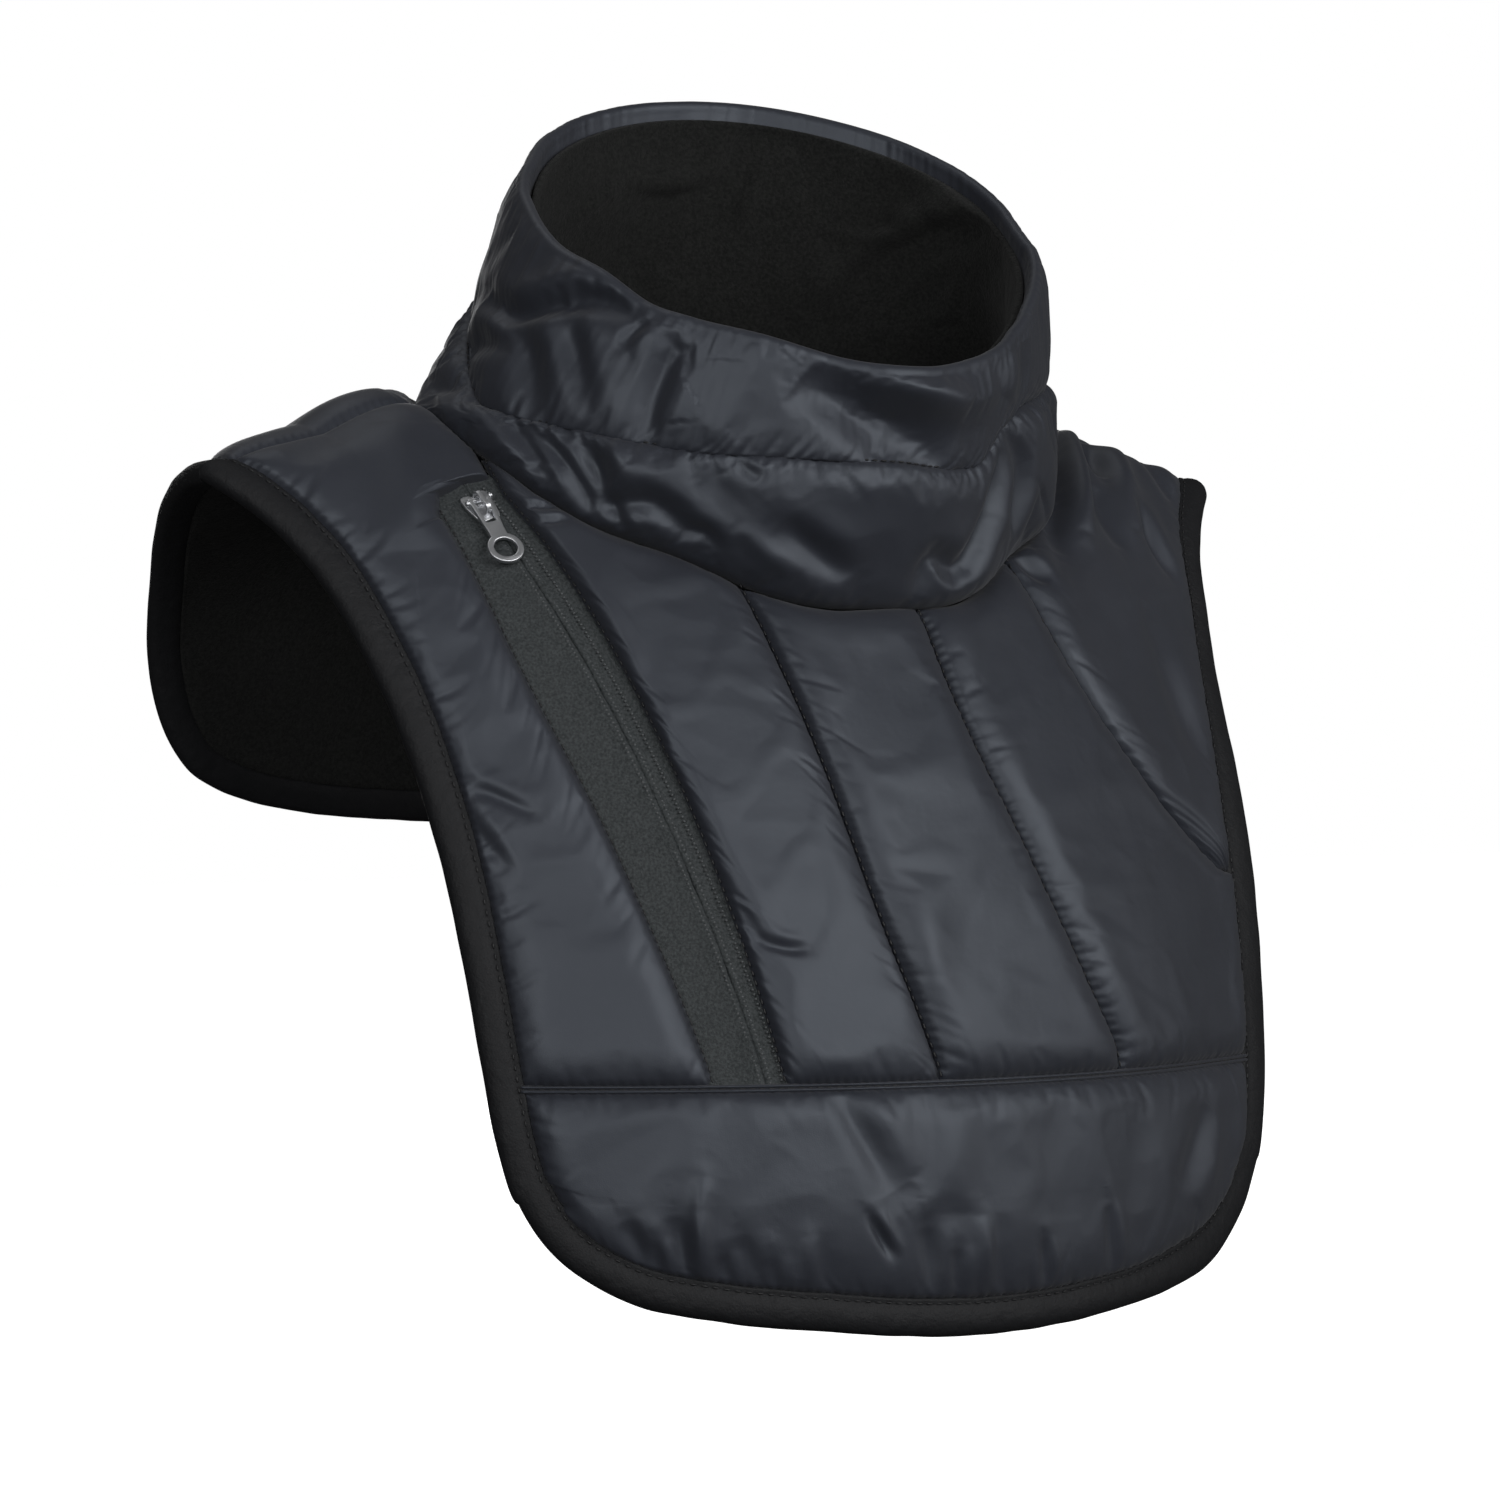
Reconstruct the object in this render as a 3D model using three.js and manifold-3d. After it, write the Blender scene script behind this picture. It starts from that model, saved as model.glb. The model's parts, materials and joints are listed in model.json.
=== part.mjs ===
// Padded neck warmer: a bib for the chest, shoulders and upper back, a standing collar in two tiers
// that leans forward, and a slanting zip on the wearer's right.
// Millimetres. +Z is up, the chest faces -Y, and the wearer's right, with the zip, is -X.
// The origin is the middle of the neck opening, at the seam between collar and bib.
import * as THREE from 'three';
import { mergeVertices } from 'three/addons/utils/BufferGeometryUtils.js';
import Module from 'manifold-3d';

const wasm = await Module();
wasm.setup();

// Body form that the cloth lies on. A turn is an angle over the shoulder in degrees: 0 on the shoulder
// ridge, -90 where the front comes to hang plumb, +90 where the back does.
const RIDGE = { neckY: 50, tipY: 3, fadeX: 62, topZ: 16, slope: 0.18, softX: 30, neckRise: 30, riseX: 60 };
const FRONT = { reach: 145, sweep: 0.0026, depthZ: -240, roundNeck: 1.63, roundEdge: 1.6, edgeX: 150 };
const BACK = { reach: 116, sweep: 0.0005, depthZ: -118, round: 2 };
// The chest hangs a little towards the wearer's left, most at the middle of the turns given.
const SWAY = { fromTurn: -25, toTurn: -95, x: 4.5 };

// Outer edge of the bib on one side, from the middle of the chest over the shoulder tip to the middle
// of the back. The other side mirrors it.
const EDGE = [
  { x: 0, turn: -98.7 },
  { x: 48, turn: -98.7 },
  { x: 84, turn: -98.3 },
  { x: 110, turn: -96.9 },
  { x: 128, turn: -93.4 },
  { x: 138, turn: -88.3 },
  { x: 144, turn: -80 },
  { x: 147.7, turn: -70 },
  { x: 152.3, turn: -56 },
  { x: 156.5, turn: -47 },
  { x: 161.5, turn: -39 },
  { x: 167, turn: -31 },
  { x: 174.3, turn: -23.5 },
  { x: 183, turn: -16 },
  { x: 189.5, turn: -8.5 },
  { x: 191.5, turn: 2 },
  { x: 187, turn: 18 },
  { x: 179, turn: 36 },
  { x: 171, turn: 52 },
  { x: 165, turn: 67 },
  { x: 157, turn: 79 },
  { x: 146, turn: 87.5 },
  { x: 127, turn: 92.6 },
  { x: 98, turn: 95.3 },
  { x: 50, turn: 96 },
  { x: 0, turn: 96 },
];

// Neck hole in the bib, on the same form, and the two rings that the collar rises through.
const NECK_HOLE = { halfWidth: 112, throatTurn: -46.5, napeTurn: 20, round: 2.05 };
const TIER_RING = {
  halfWidth: 101,
  throatY: -99,
  throatZ: -16,
  napeY: 70,
  napeZ: 54,
  round: 1.6,
  climb: 1.2,
  shiftX: 0,
  tilt: 0,
};
const RIM_RING = {
  halfWidth: 83,
  throatY: -100,
  throatZ: 11,
  napeY: 56,
  napeZ: 107,
  round: 1.92,
  climb: 0.88,
  shiftX: 4.5,
  tilt: 0.12,
};

// Seams on the chest, each from its upper end to its lower end.
const ZIP_OUTER = [
  { x: -126, turn: -24.5 },
  { x: -120, turn: -42 },
  { x: -105, turn: -59 },
  { x: -86, turn: -77.5 },
];
const ZIP_MIDDLE = [
  { x: -114.5, turn: -22.3 },
  { x: -106, turn: -36 },
  { x: -92, turn: -54 },
  { x: -71, turn: -78 },
];
const ZIP_INNER = [
  { x: -105, turn: -22.6 },
  { x: -97.5, turn: -34 },
  { x: -85, turn: -52 },
  { x: -65, turn: -79 },
];
// Edge of the side panel round the top end of the zip.
const ZIP_NOTCH = [
  { x: -106, turn: -20.6 },
  { x: -114.5, turn: -20.7 },
  { x: -124, turn: -21.8 },
  { x: -127, turn: -25.5 },
];
const SEAM_A = [
  { x: -45, turn: -42 },
  { x: -41, turn: -50 },
  { x: -31, turn: -66 },
  { x: -16, turn: -79 },
];
const SEAM_B = [
  { x: 14, turn: -45.5 },
  { x: 16, turn: -53.5 },
  { x: 30, turn: -64 },
  { x: 56, turn: -77.5 },
];
const SEAM_C = [
  { x: 63, turn: -37 },
  { x: 74, turn: -47 },
  { x: 97, turn: -55 },
  { x: 130, turn: -61.3 },
];
const HEM_SEAM_Z = -206;

// Layers, as lifts along the form's outward normal.
const LINING_INSIDE = -5.5;
const LINING_OUTSIDE = -3.5;
const SHELL_INSIDE = -2.3;
const SEAM_LIFT = 0.8;
const TAPE_INSIDE = -2.3;
const TAPE_OUTSIDE = -1.1;
const GAP = 0.5;
const EDGE_GAP = 0.8;
const LINING_EDGE_GAP = 1.6;

// Edge binding: a soft band folded round the edge of the bib.
const BINDING_WIDTH = 9.5;

// Collar wall.
const SHELL_WALL = 5;
const FLEECE_WALL = 2;
const FLEECE_GAP = 0.8;
const RIM_FACING = 6;
const COLLAR_COLUMNS = 42;
const LINING_ROWS = 10;
const SEAM_STEPS = 12;
const SEAM_C_STEPS = 7;
const PIPING = 2.4;
const PIPING_RISE = 1.4;
const HEM_CORNER_TURN = -91;
const HEM_EDGE_X = 132;
const SHOULDER_TURN = 0.4;
const LOWER_PUFF = 5;
const UPPER_PUFF = 2.8;

// Folds that run over the padding: a height above zero is a ridge, below zero a dent.
const BODY_FOLDS = [
  { fromX: -128, fromTurn: -8, toX: -140, toTurn: -30, width: 11, height: 2.5 },
  { fromX: -122, fromTurn: -4, toX: -168, toTurn: -9, width: 9, height: -2 },
  { fromX: -137, fromTurn: -50, toX: -120, toTurn: -60, width: 8, height: -2.5 },
  { fromX: 98, fromTurn: -12, toX: 92, toTurn: -46, width: 9, height: -3.5 },
  { fromX: 112, fromTurn: -8, toX: 118, toTurn: -50, width: 11, height: 2.5 },
  { fromX: 128, fromTurn: -10, toX: 138, toTurn: -40, width: 8, height: -2.5 },
  { fromX: 150, fromTurn: -12, toX: 146, toTurn: -34, width: 9, height: 2 },
  { fromX: -66, fromTurn: -63, toX: -48, toTurn: -66, width: 7, height: -2.5 },
  { fromX: 118, fromTurn: -66, toX: 104, toTurn: -76, width: 10, height: -2 },
  { fromX: -70, fromTurn: -82, toX: -84, toTurn: -95, width: 9, height: -2.5 },
  { fromX: -34, fromTurn: -84, toX: -30, toTurn: -96, width: 8, height: -2.5 },
  { fromX: 14, fromTurn: -82, toX: 6, toTurn: -96, width: 9, height: -2.5 },
  { fromX: 58, fromTurn: -82, toX: 52, toTurn: -95, width: 9, height: -2.5 },
  { fromX: -60, fromTurn: 40, toX: -90, toTurn: 80, width: 12, height: -2 },
  { fromX: 60, fromTurn: 40, toX: 90, toTurn: 80, width: 12, height: -2 },
];

// Padding that stands up over the shoulder seams, seams and all.
const SHOULDER_SWELLS = [
  { fromX: -104, fromTurn: 7, toX: -150, toTurn: 6, width: 24, height: 9.5 },
  { fromX: -98, fromTurn: 12, toX: -116, toTurn: 9, width: 20, height: 4 },
  { fromX: 112, fromTurn: 5, toX: 150, toTurn: 4, width: 18, height: 4.5 },
];

// Folds of the collar. Angles run from the throat, 0, to the nape, 180, and are negative on the zip's
// side; a rise is 0 at the bib, 1 at the seam between the tiers and 2 at the rim.
const COLLAR_FOLDS = [
  { fromAngle: -70, fromRise: 1.1, toAngle: -92, toRise: 1.75, width: 9, height: -4 },
  { fromAngle: -60, fromRise: 1.75, toAngle: -38, toRise: 1.3, width: 9, height: 3 },
  { fromAngle: -6, fromRise: 1.2, toAngle: 24, toRise: 1.75, width: 9, height: -4.5 },
  { fromAngle: 12, fromRise: 1.15, toAngle: 52, toRise: 1.5, width: 10, height: 4 },
  { fromAngle: 62, fromRise: 1.1, toAngle: 76, toRise: 1.9, width: 8, height: -3.5 },
  { fromAngle: -58, fromRise: 0.9, toAngle: -32, toRise: 0.25, width: 8, height: -3.5 },
  { fromAngle: -24, fromRise: 0.85, toAngle: 4, toRise: 0.3, width: 8, height: 2.5 },
  { fromAngle: 38, fromRise: 0.8, toAngle: 62, toRise: 0.3, width: 8, height: -3.5 },
  { fromAngle: 130, fromRise: 1.2, toAngle: 150, toRise: 1.7, width: 10, height: -3 },
  { fromAngle: -150, fromRise: 1.2, toAngle: -130, toRise: 1.7, width: 10, height: -3 },
];

// Zip slider and pull, in the slider's own axes: X across the zip, Y up it and Z out of the cloth.
const SLIDER = { length: 11.5, width: 9.6, noseWidth: 6.4, thickness: 1.2, along: 0.035, seat: 0.3 };
const BRIDGE = { fromY: -4.2, toY: 4.2, height: 4, width: 1.7, wall: 1 };
const PULL = {
  length: 26.5, ring: 11.4, hole: 7.4, head: 7.8, waist: 5.6, slot: 4.4, slotLength: 9.5, thickness: 1.4,
};
const HINGE = { y: 1.7, clearance: 0.6, lean: 2.6, sway: 4 };
const STUD = { radius: 0.95, x: 4.1 };

const COLOURS = { nylon: 0x3b3e47, fleece: 0x151717, binding: 0x2b2d31, tape: 0x3a3d40, metal: 0x77797c };

const lerp = THREE.MathUtils.lerp;
const radians = THREE.MathUtils.degToRad;

function finish(colour, roughness, metalness = 0) {
  return new THREE.MeshStandardMaterial({ color: colour, roughness, metalness });
}

const nylon = finish(COLOURS.nylon, 0.42);
const fleece = finish(COLOURS.fleece, 0.95);
const bindingCloth = finish(COLOURS.binding, 0.8);
const tapeCloth = finish(COLOURS.tape, 0.85);
const metal = finish(COLOURS.metal, 0.35, 0.9);

// The form: a point at x, a turn over the shoulder.
function form(x, turn) {
  const across = Math.abs(x);
  const ridgeY = RIDGE.tipY + (RIDGE.neckY - RIDGE.tipY) * Math.exp(-((across / RIDGE.fadeX) ** 2));
  const ridgeZ = RIDGE.topZ - RIDGE.slope * Math.hypot(across, RIDGE.softX)
    + RIDGE.neckRise * Math.exp(-((across / RIDGE.riseX) ** 2));
  const forward = turn < 0;
  const frontRound = lerp(FRONT.roundNeck, FRONT.roundEdge, Math.min(1, across / FRONT.edgeX));
  const power = 2 / (forward ? frontRound : BACK.round);
  const reach = forward
    ? -(ridgeY + FRONT.reach - FRONT.sweep * x * x)
    : BACK.reach - BACK.sweep * x * x - ridgeY;
  const drop = ridgeZ - (forward ? FRONT.depthZ : BACK.depthZ);
  const angle = radians(Math.min(Math.abs(turn), 90));
  const plumb = radians(Math.max(Math.abs(turn) - 90, 0));
  const out = Math.sin(angle) ** power;
  const down = 1 - Math.max(Math.cos(angle), 0) ** power;
  const hang = THREE.MathUtils.clamp((turn - SWAY.fromTurn) / (SWAY.toTurn - SWAY.fromTurn), 0, 1);
  const sway = SWAY.x * Math.sin(Math.PI * hang);
  return new THREE.Vector3(x + sway, ridgeY + reach * out, ridgeZ - drop * (down + plumb));
}

// Slopes of the form, in millimetres of surface for each millimetre of x and each degree of turn.
function slopes(x, turn) {
  const step = 0.5;
  const alongX = form(x + step, turn).sub(form(x - step, turn)).divideScalar(2 * step);
  const alongTurn = form(x, turn + step).sub(form(x, turn - step)).divideScalar(2 * step);
  return { alongX, alongTurn };
}

function formNormal(x, turn) {
  const { alongX, alongTurn } = slopes(x, turn);
  return alongX.cross(alongTurn).normalize();
}

function lifted([x, turn], lift) {
  return form(x, turn).addScaledVector(formNormal(x, turn), lift);
}

// Spline through the rows of a table, as a function of 0 to 1.
function seam(rows) {
  const curve = new THREE.CatmullRomCurve3(rows.map((row) => new THREE.Vector3(row.x, row.turn, 0)));
  return (t) => {
    const point = curve.getPoint(t);
    return [point.x, point.y];
  };
}

// Closed outline of the bib as [x, turn] points, in equal steps from one row of the table to the next.
function edgeLoop(stepsPerRow) {
  const mirrored = EDGE.slice(1, -1).reverse().map((row) => ({ x: -row.x, turn: row.turn }));
  const rows = [...EDGE, ...mirrored];
  const points = rows.map((row) => new THREE.Vector3(row.x, row.turn, 0));
  const curve = new THREE.CatmullRomCurve3(points, true);
  const count = rows.length * stepsPerRow;
  return Array.from({ length: count }, (_, i) => {
    const point = curve.getPoint(i / count);
    return [point.x, point.y];
  });
}

// Place on the form that lies nearest to a point in space, found from a start close to it.
function nearest(point, [startX, startTurn]) {
  let x = startX;
  let turn = startTurn;
  for (let i = 0; i < 6; i += 1) {
    const { alongX, alongTurn } = slopes(x, turn);
    const miss = point.clone().sub(form(x, turn));
    const xx = alongX.dot(alongX);
    const xt = alongX.dot(alongTurn);
    const tt = alongTurn.dot(alongTurn);
    const determinant = xx * tt - xt * xt;
    x += (miss.dot(alongX) * tt - miss.dot(alongTurn) * xt) / determinant;
    turn += (miss.dot(alongTurn) * xx - miss.dot(alongX) * xt) / determinant;
  }
  return [x, turn];
}

// Moves a place on the form sideways by a distance in millimetres, to the left of a direction on it.
function sideways([x, turn], [dx, dTurn], distance) {
  const { alongX, alongTurn } = slopes(x, turn);
  const heading = alongX.multiplyScalar(dx).addScaledVector(alongTurn, dTurn).normalize();
  const left = formNormal(x, turn).cross(heading);
  return nearest(form(x, turn).addScaledVector(left, distance), [x, turn]);
}

function insetLoop(loop, distance) {
  return loop.map((point, i) => {
    const next = loop[(i + 1) % loop.length];
    const last = loop[(i + loop.length - 1) % loop.length];
    return sideways(point, [next[0] - last[0], next[1] - last[1]], distance);
  });
}

// Point of the neck hole at an angle from the throat, grown outwards by a distance.
function neckHole(angleDegrees, grow = 0) {
  const sine = Math.sin(radians(angleDegrees));
  const cosine = Math.cos(radians(angleDegrees));
  const power = 2 / NECK_HOLE.round;
  const x = NECK_HOLE.halfWidth * Math.sign(sine) * Math.abs(sine) ** power;
  const turn = (cosine > 0 ? NECK_HOLE.throatTurn : NECK_HOLE.napeTurn) * Math.abs(cosine) ** power;
  const away = new THREE.Vector2(x, turn * 3).normalize();
  const { alongTurn } = slopes(x, turn);
  return [x + away.x * grow, turn + (away.y * grow) / alongTurn.length()];
}

// Angle at which the neck hole passes a given x on the throat's side.
function neckAngleAtX(x) {
  const sine = (Math.abs(x) / NECK_HOLE.halfWidth) ** (NECK_HOLE.round / 2);
  return Math.sign(x) * THREE.MathUtils.radToDeg(Math.asin(Math.min(1, sine)));
}

// Turn at which the front of the form passes a given height.
function turnAtHeight(x, z) {
  let high = 0;
  let low = -90;
  for (let i = 0; i < 40; i += 1) {
    const middle = (high + low) / 2;
    if (form(x, middle).z > z) high = middle;
    else low = middle;
  }
  return (high + low) / 2;
}

// Closed mesh from points and triangles, turned so that its faces point out.
function closedGeometry(points, triangles) {
  const volume = triangles.reduce((sum, [a, b, c]) => {
    const cross = new THREE.Vector3().crossVectors(points[b], points[c]);
    return sum + points[a].dot(cross);
  }, 0);
  const ordered = volume > 0 ? triangles : triangles.map(([a, b, c]) => [a, c, b]);
  const geometry = new THREE.BufferGeometry();
  const values = points.flatMap((point) => [point.x, point.y, point.z]);
  geometry.setAttribute('position', new THREE.Float32BufferAttribute(values, 3));
  geometry.setIndex(ordered.flat());
  geometry.computeVertexNormals();
  return geometry;
}

// Solid between an outer and an inner sheet of points over u and v, walled round its rim. A ring has no
// walls across u, because its last column meets its first.
function slab({ columns, rows, outer, inner, ring = false }) {
  const across = ring ? columns : columns + 1;
  const points = [];
  for (const sheet of [outer, inner]) {
    for (let j = 0; j <= rows; j += 1) {
      for (let i = 0; i < across; i += 1) points.push(sheet(i / columns, j / rows));
    }
  }
  const inside = across * (rows + 1);
  const at = (i, j) => j * across + (i % across);
  const triangles = [];
  const quad = (a, b, c, d) => triangles.push([a, b, c], [a, c, d]);
  for (let j = 0; j < rows; j += 1) {
    for (let i = 0; i < columns; i += 1) {
      const [a, b, c, d] = [at(i, j), at(i + 1, j), at(i + 1, j + 1), at(i, j + 1)];
      quad(a, b, c, d);
      quad(a + inside, d + inside, c + inside, b + inside);
    }
  }
  for (let i = 0; i < columns; i += 1) {
    quad(at(i + 1, 0), at(i, 0), at(i, 0) + inside, at(i + 1, 0) + inside);
    quad(at(i, rows), at(i + 1, rows), at(i + 1, rows) + inside, at(i, rows) + inside);
  }
  if (!ring) {
    for (let j = 0; j < rows; j += 1) {
      quad(at(0, j), at(0, j + 1), at(0, j + 1) + inside, at(0, j) + inside);
      quad(at(columns, j + 1), at(columns, j), at(columns, j) + inside, at(columns, j + 1) + inside);
    }
  }
  return closedGeometry(points, triangles);
}

// Patch between four seams: top and bottom run over u, left and right over v.
function patch({ top, bottom, left, right }) {
  const blend = (u, v, k) => (1 - v) * top(u)[k] + v * bottom(u)[k] + (1 - u) * left(v)[k] + u * right(v)[k]
    - (1 - u) * (1 - v) * top(0)[k] - u * (1 - v) * top(1)[k]
    - (1 - u) * v * bottom(0)[k] - u * v * bottom(1)[k];
  return (u, v) => [blend(u, v, 0), blend(u, v, 1)];
}

// Height of the folds at a point: each is a soft ridge along a straight line that fades at its ends.
function foldHeight(point, folds) {
  return folds.reduce((sum, fold) => {
    const line = fold.to.clone().sub(fold.from);
    const offset = point.clone().sub(fold.from);
    const along = THREE.MathUtils.clamp(offset.dot(line) / line.lengthSq(), 0, 1);
    const distance = offset.addScaledVector(line, -along).length();
    const faded = fold.height * (0.35 + 0.65 * Math.sin(Math.PI * along));
    return sum + faded * Math.exp(-((distance / fold.width) ** 2));
  }, 0);
}

const onForm = (row) => ({
  from: form(row.fromX, row.fromTurn),
  to: form(row.toX, row.toTurn),
  width: row.width,
  height: row.height,
});
const bodyFolds = BODY_FOLDS.map(onForm);
const shoulderSwells = SHOULDER_SWELLS.map(onForm);

// Crown of a padded panel: nothing at the seams, one in the middle.
function crown(u, v) {
  const side = (t) => Math.sqrt(Math.max(0, 1 - Math.abs(2 * t - 1) ** 2.6));
  return side(u) * side(v);
}

function paddedPanel(columns, rows, puff, place) {
  return slab({
    columns,
    rows,
    outer: (u, v) => {
      const spot = place(u, v);
      const point = form(...spot);
      const pad = crown(u, v) * (puff + foldHeight(point, bodyFolds));
      return lifted(spot, SEAM_LIFT + foldHeight(point, shoulderSwells) + pad);
    },
    inner: (u, v) => lifted(place(u, v), SHELL_INSIDE),
  });
}

// Outline that the panels end on, inside the binding.
const panelLoop = insetLoop(edgeLoop(8), BINDING_WIDTH + EDGE_GAP);

// Point of the panels' outline on the front, on one side, at a turn.
function panelEdge(side, turn) {
  const half = panelLoop.length / 2;
  for (let i = 0; i < half - 1; i += 1) {
    const [x0, turn0] = panelLoop[i];
    const [x1, turn1] = panelLoop[i + 1];
    const part = (turn - turn0) / (turn1 - turn0);
    if (turn0 <= turn && turn1 > turn) return [side * lerp(x0, x1, part), turn];
  }
  return [side * panelLoop[half][0], turn];
}

// Points of the panels' outline between two turns on one side, from the first to the last.
function edgeBetween(side, fromTurn, toTurn, steps = 10) {
  return Array.from({ length: steps + 1 }, (_, i) => panelEdge(side, lerp(fromTurn, toTurn, i / steps)));
}

// Curve along a polyline, in equal steps of its length on the form.
function evenly(points) {
  const places = points.map((point) => form(...point));
  const lengths = [0];
  for (let i = 1; i < places.length; i += 1) {
    lengths.push(lengths[i - 1] + places[i].distanceTo(places[i - 1]));
  }
  return (t) => {
    const wanted = t * lengths[lengths.length - 1];
    let i = 1;
    while (i < lengths.length - 1 && lengths[i] < wanted) i += 1;
    const part = (wanted - lengths[i - 1]) / (lengths[i] - lengths[i - 1]);
    return [lerp(points[i - 1][0], points[i][0], part), lerp(points[i - 1][1], points[i][1], part)];
  };
}

// Curve along a polyline, with an equal share for each of its steps, so that rows can meet its corners.
function stepwise(points) {
  const steps = points.length - 1;
  return (t) => {
    const i = Math.min(steps - 1, Math.floor(t * steps + 1e-6));
    const part = t * steps - i;
    return [lerp(points[i][0], points[i + 1][0], part), lerp(points[i][1], points[i + 1][1], part)];
  };
}

function straight(from, to) {
  return (t) => [lerp(from[0], to[0], t), lerp(from[1], to[1], t)];
}

// Points along a seam, moved sideways by a distance, with its two ends left off.
function alongSeam(rows, distance, steps = SEAM_STEPS) {
  const curve = seam(rows);
  return Array.from({ length: steps - 1 }, (_, i) => {
    const t = (i + 1) / steps;
    const before = curve(t - 0.02);
    const after = curve(t + 0.02);
    return sideways(curve(t), [after[0] - before[0], after[1] - before[1]], distance);
  });
}

const half = GAP / 2;
const hemPoint = (x, below) => [x, turnAtHeight(x, HEM_SEAM_Z - below)];
const aboveHem = -(PIPING / 2 + GAP);
const belowHem = PIPING / 2 + GAP;
const seamFoot = (rows, move) => hemPoint(rows[rows.length - 1].x + move, aboveHem);
const neckAngle = (rows, move) => neckAngleAtX(rows[0].x + move);
const hemEdge = (side, below) => {
  const x = panelEdge(side, turnAtHeight(side * HEM_EDGE_X, HEM_SEAM_Z - below))[0];
  return hemPoint(x, below);
};

// Panel of the chest between two paths that run from the neck hole to the hem seam.
function chestPanel(startAngle, endAngle, leftPath, rightPath) {
  const left = stepwise([neckHole(startAngle, GAP), ...leftPath]);
  const right = stepwise([neckHole(endAngle, GAP), ...rightPath]);
  return patch({
    top: (u) => neckHole(lerp(startAngle, endAngle, u), GAP),
    bottom: (u) => hemPoint(lerp(left(1)[0], right(1)[0], u), aboveHem),
    left,
    right,
  });
}

function frontPanelZipSide() {
  return chestPanel(
    neckAngle(ZIP_INNER, half),
    neckAngle(SEAM_A, -half),
    [...alongSeam(ZIP_INNER, half), seamFoot(ZIP_INNER, half)],
    [...alongSeam(SEAM_A, -half), seamFoot(SEAM_A, -half)],
  );
}

function frontPanelMiddle() {
  return chestPanel(
    neckAngle(SEAM_A, half),
    neckAngle(SEAM_B, -half),
    [...alongSeam(SEAM_A, half), seamFoot(SEAM_A, half)],
    [...alongSeam(SEAM_B, -half), seamFoot(SEAM_B, -half)],
  );
}

const seamCEndTurn = SEAM_C[SEAM_C.length - 1].turn;

function frontPanelOuter() {
  const foot = hemEdge(1, aboveHem);
  return chestPanel(
    neckAngle(SEAM_B, half),
    neckAngle(SEAM_C, -half),
    [...alongSeam(SEAM_B, half), seamFoot(SEAM_B, half)],
    [
      ...alongSeam(SEAM_C, -half, SEAM_C_STEPS),
      ...edgeBetween(1, seamCEndTurn - 1, foot[1], SEAM_C_STEPS - 2),
    ],
  );
}

// Panel over the wearer's left shoulder, from the shoulder seam down to the slanting seam.
function shoulderPanelLeft() {
  const seamAngle = neckAngle(SEAM_C, half);
  const left = stepwise([
    [neckHole(90, GAP)[0], -SHOULDER_TURN],
    ...[0.2, 0.4, 0.6, 0.8, 1].map((t) => neckHole(lerp(90, seamAngle, t), GAP)),
    ...alongSeam(SEAM_C, half, SEAM_C_STEPS),
  ]);
  const right = evenly(edgeBetween(1, -SHOULDER_TURN, seamCEndTurn + 1));
  return patch({ top: straight(left(0), right(0)), bottom: straight(left(1), right(1)), left, right });
}

// Panel from the wearer's right shoulder down the outside of the zip.
function sidePanelRight() {
  const foot = hemEdge(-1, aboveHem);
  const left = evenly(edgeBetween(-1, -SHOULDER_TURN, foot[1]));
  const notchAngle = neckAngleAtX(ZIP_NOTCH[0].x);
  const right = stepwise([
    [neckHole(-90, GAP)[0], -SHOULDER_TURN],
    ...[0.25, 0.5, 0.75, 1].map((t) => neckHole(lerp(-90, notchAngle, t), GAP)),
    ...ZIP_NOTCH.map((row) => [row.x, row.turn]),
    ...alongSeam(ZIP_OUTER, -half),
    seamFoot(ZIP_OUTER, -half),
  ]);
  return patch({
    top: straight(left(0), right(0)),
    bottom: (u) => hemPoint(lerp(left(1)[0], right(1)[0], u), aboveHem),
    left,
    right,
  });
}

// Panel along the foot of the chest, below the hem seam.
function hemPanel() {
  const leftTop = hemEdge(-1, belowHem);
  const rightTop = hemEdge(1, belowHem);
  const belowCorner = panelLoop.filter(([x, turn]) => x >= 0 && turn < HEM_CORNER_TURN);
  const rightCorner = panelEdge(1, HEM_CORNER_TURN);
  const rightHalf = [...belowCorner, rightCorner];
  const mirrored = rightHalf.slice(1).reverse().map(([x, turn]) => [-x, turn]);
  return patch({
    top: (u) => hemPoint(lerp(leftTop[0], rightTop[0], u), belowHem),
    bottom: evenly([...mirrored, ...rightHalf]),
    left: evenly([leftTop, ...edgeBetween(-1, leftTop[1], HEM_CORNER_TURN).slice(1)]),
    right: evenly([rightTop, ...edgeBetween(1, rightTop[1], HEM_CORNER_TURN).slice(1)]),
  });
}

// Ruled ring of places from the neck hole, v = 0, out to the binding, v = 1, with a station at each row
// of the edge table.
function bibRing(edgeGap) {
  const loop = insetLoop(edgeLoop(1), BINDING_WIDTH + edgeGap);
  const tipRow = EDGE.findIndex((row) => row.turn > 0);
  const middle = loop.length / 2;
  return {
    stations: loop.length,
    tipRow,
    place: (station, v) => {
      const row = Math.min(station, loop.length - station);
      const angle = row < tipRow ? (90 * row) / tipRow : 90 + (90 * (row - tipRow)) / (middle - tipRow);
      const inner = neckHole(station > middle ? -angle : angle, GAP);
      const outer = loop[station % loop.length];
      return [lerp(inner[0], outer[0], v), lerp(inner[1], outer[1], v)];
    },
  };
}

// Back panel: the half of the ring behind the shoulder seams.
function backPanel(puff) {
  const { stations, tipRow, place } = bibRing(EDGE_GAP);
  const columns = stations - 2 * tipRow;
  return paddedPanel(columns, LINING_ROWS, puff, (u, v) => {
    const [x, turn] = place(tipRow + Math.round(u * columns), v);
    return u > 0 && u < 1 ? [x, turn] : [x, SHOULDER_TURN];
  });
}

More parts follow.
